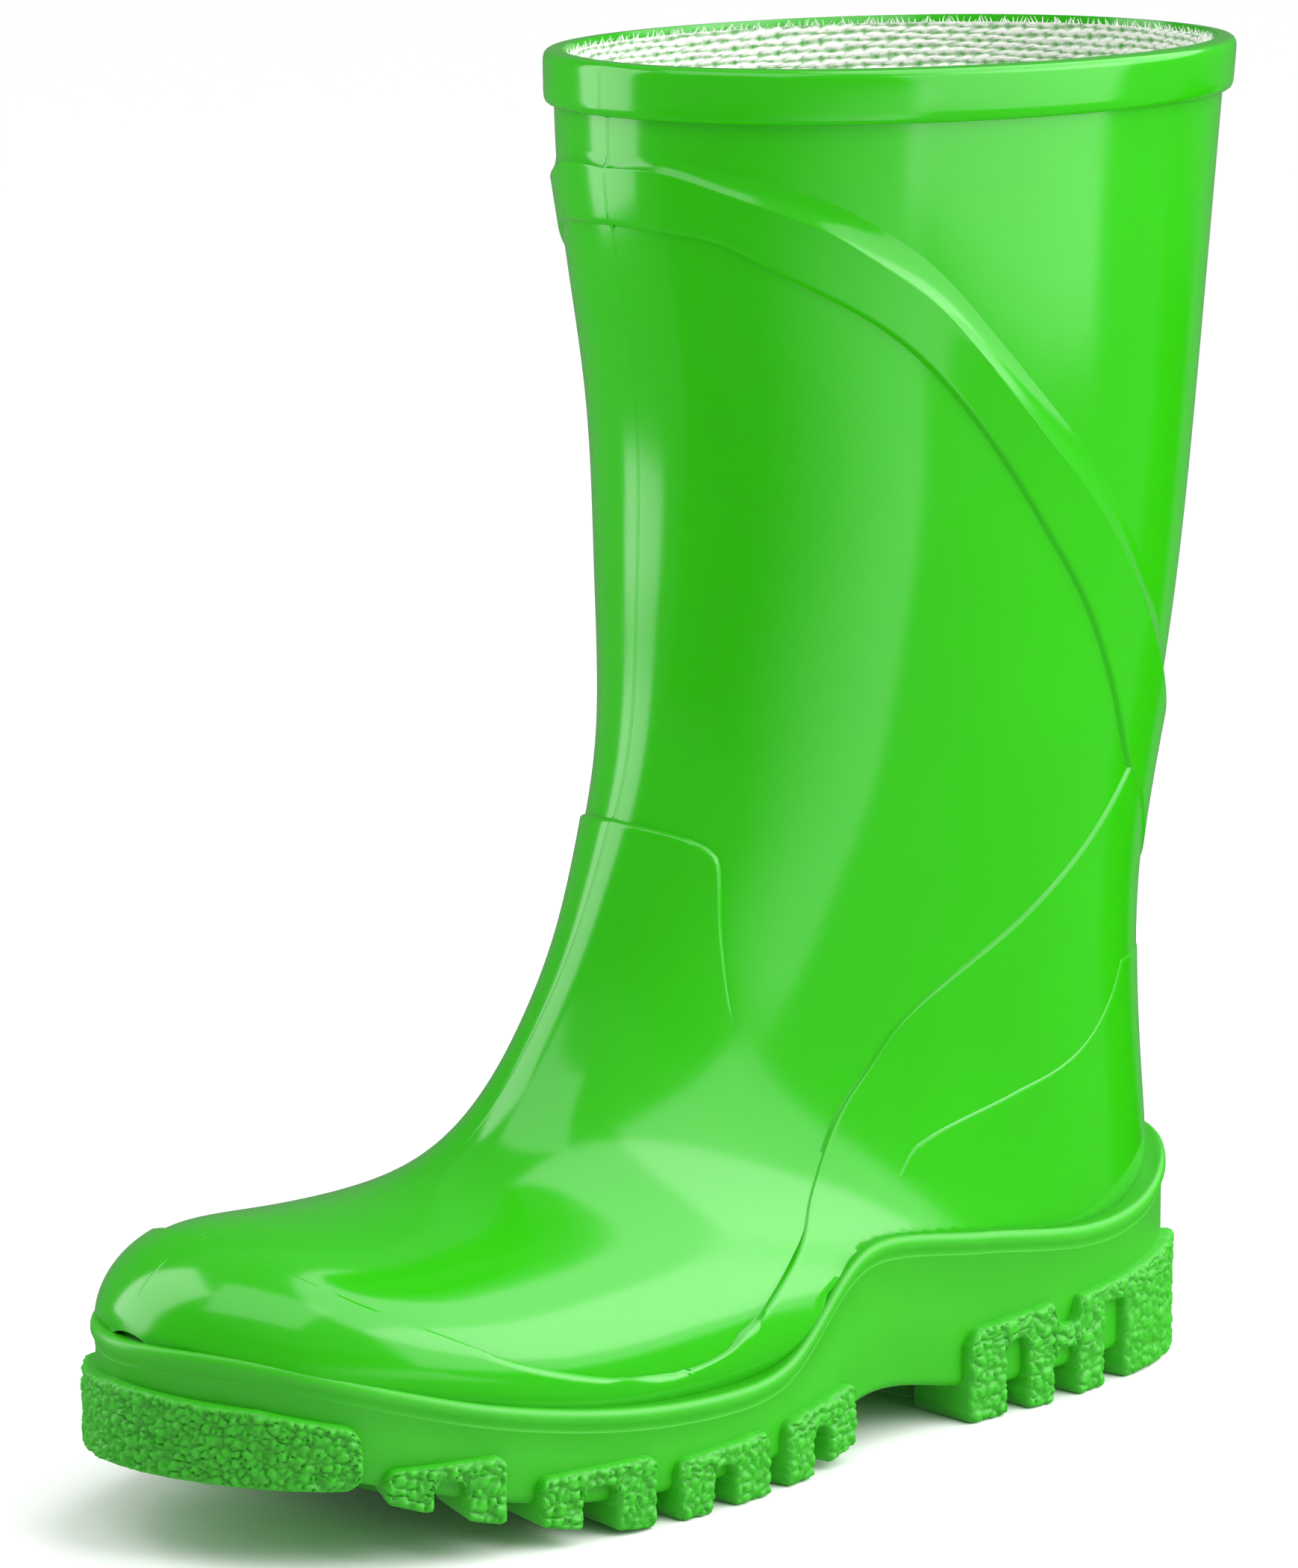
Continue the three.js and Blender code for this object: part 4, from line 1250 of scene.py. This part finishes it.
class RAINBOOT_OT_stage(Operator):
    """White paper floor, flags that only reflections see, lights and camera"""

    bl_idname = "rain_boot.stage"
    bl_label = "Stage"

    def execute(self, context):
        bm = bmesh.new()
        bmesh.ops.create_circle(bm, cap_ends=True, segments=96, radius=9)
        floor = flat_stage("floor", bm, paper_sweep(context.scene.rain_boot_colours.paper), 0)
        floor.visible_glossy = False
        inner, outer = 0.21, 1.41  # metres from the boot's middle to the flags' edges
        for name, first, last, dark_to, light_from in (
                ("left_flag", -66, 45, -22, 45), ("right_flag", 117, 139, 150, 160)):
            bm = laid_grid(32, 1, lambda u, v: np.array(
                [round_boot(mix(first, last, a), 0, mix(inner, outer, b)) for a, b in zip(u, v)]))
            flag = flat_stage(name, bm, graded_flag(dark_to, light_from), 0.002)
            flag.visible_camera = flag.visible_diffuse = flag.visible_shadow = False

        soft_box("right_box", round_boot(66, 0.3, 0.55), (0, 0, 0.12), (0.6, 0.5), 2.2)
        soft_box("left_box", round_boot(-96, 0.3, 0.45), (0, 0, 0.13), (0.3, 0.5), 3.2)
        soft_box("top_box", (0.12, -0.4, 0.8), (0, 0, 0.05), (0.75, 0.5), 1.9)
        for name, turn, height, strength, angle in (
                ("bank", 100, 1.1, 1.1, 80), ("ceiling", 60, 3.5, 0.12, 120)):
            sun = bpy.data.lights.new(name, "SUN")
            sun.energy, sun.angle = strength * math.pi, math.radians(angle)
            lamp(name, sun, round_boot(turn, height, 1), (0, 0, 0))
        world = bpy.data.worlds.new("studio")
        world.use_nodes = True
        backdrop = world.node_tree.nodes["Background"]
        backdrop.inputs["Color"].default_value = (1, 1, 1, 1)
        seen = add(world.node_tree, "ShaderNodeLightPath")
        level = add(world.node_tree, "ShaderNodeMapRange", {"To Min": 0.2, "To Max": 1.08},
                    {"Value": seen.outputs["Is Camera Ray"]})
        world.node_tree.links.new(level.outputs["Result"], backdrop.inputs["Strength"])
        context.scene.world = world

        camera = bpy.data.cameras.new("camera")
        camera.lens = 159.3
        camera.sensor_width = 36
        eye = bpy.data.objects.new("camera", camera)
        back = round_boot(0, 0, math.cos(VIEW_ELEVATION))
        back.z = math.sin(VIEW_ELEVATION)
        eye.location = CENTRE + back * VIEW_DISTANCE
        eye.rotation_euler = (-back).to_track_quat("-Z", "Y").to_euler()
        context.scene.collection.objects.link(eye)
        context.scene.camera = eye
        context.scene.view_settings.view_transform = "Standard"
        return {"FINISHED"}


PIECES = (
    RAINBOOT_OT_upper, RAINBOOT_OT_cuff, RAINBOOT_OT_sweep, RAINBOOT_OT_vamp, RAINBOOT_OT_toe_cap,
    RAINBOOT_OT_quarters, RAINBOOT_OT_counter, RAINBOOT_OT_flash, RAINBOOT_OT_outsole, RAINBOOT_OT_bumper,
    RAINBOOT_OT_lugs, RAINBOOT_OT_bars, RAINBOOT_OT_lining, RAINBOOT_OT_insole, RAINBOOT_OT_stage,
)


class RAINBOOT_PT_panel(Panel):
    """Lists the boot's settings and pieces"""

    bl_idname = "RAINBOOT_PT_panel"
    bl_label = "Rain Boot"
    bl_space_type = "VIEW_3D"
    bl_region_type = "UI"
    bl_category = "Rain Boot"

    def draw(self, context):
        for group in (context.scene.rain_boot_colours, context.scene.rain_boot_sizes):
            for name in group.bl_rna.properties.keys():
                if name not in ("rna_type", "name"):
                    self.layout.prop(group, name)
        for piece in PIECES:
            self.layout.operator(piece.bl_idname)


CLASSES = (RAINBOOT_PG_colours, RAINBOOT_PG_sizes, *PIECES, RAINBOOT_PT_panel)


def register():
    for cls in CLASSES:
        bpy.utils.register_class(cls)
    bpy.types.Scene.rain_boot_colours = PointerProperty(type=RAINBOOT_PG_colours)
    bpy.types.Scene.rain_boot_sizes = PointerProperty(type=RAINBOOT_PG_sizes)


def unregister():
    del bpy.types.Scene.rain_boot_sizes
    del bpy.types.Scene.rain_boot_colours
    for cls in reversed(CLASSES):
        bpy.utils.unregister_class(cls)


def main():
    register()
    for piece in PIECES:
        getattr(bpy.ops.rain_boot, piece.bl_idname.split(".")[1])()


if __name__ == "__main__":
    main()
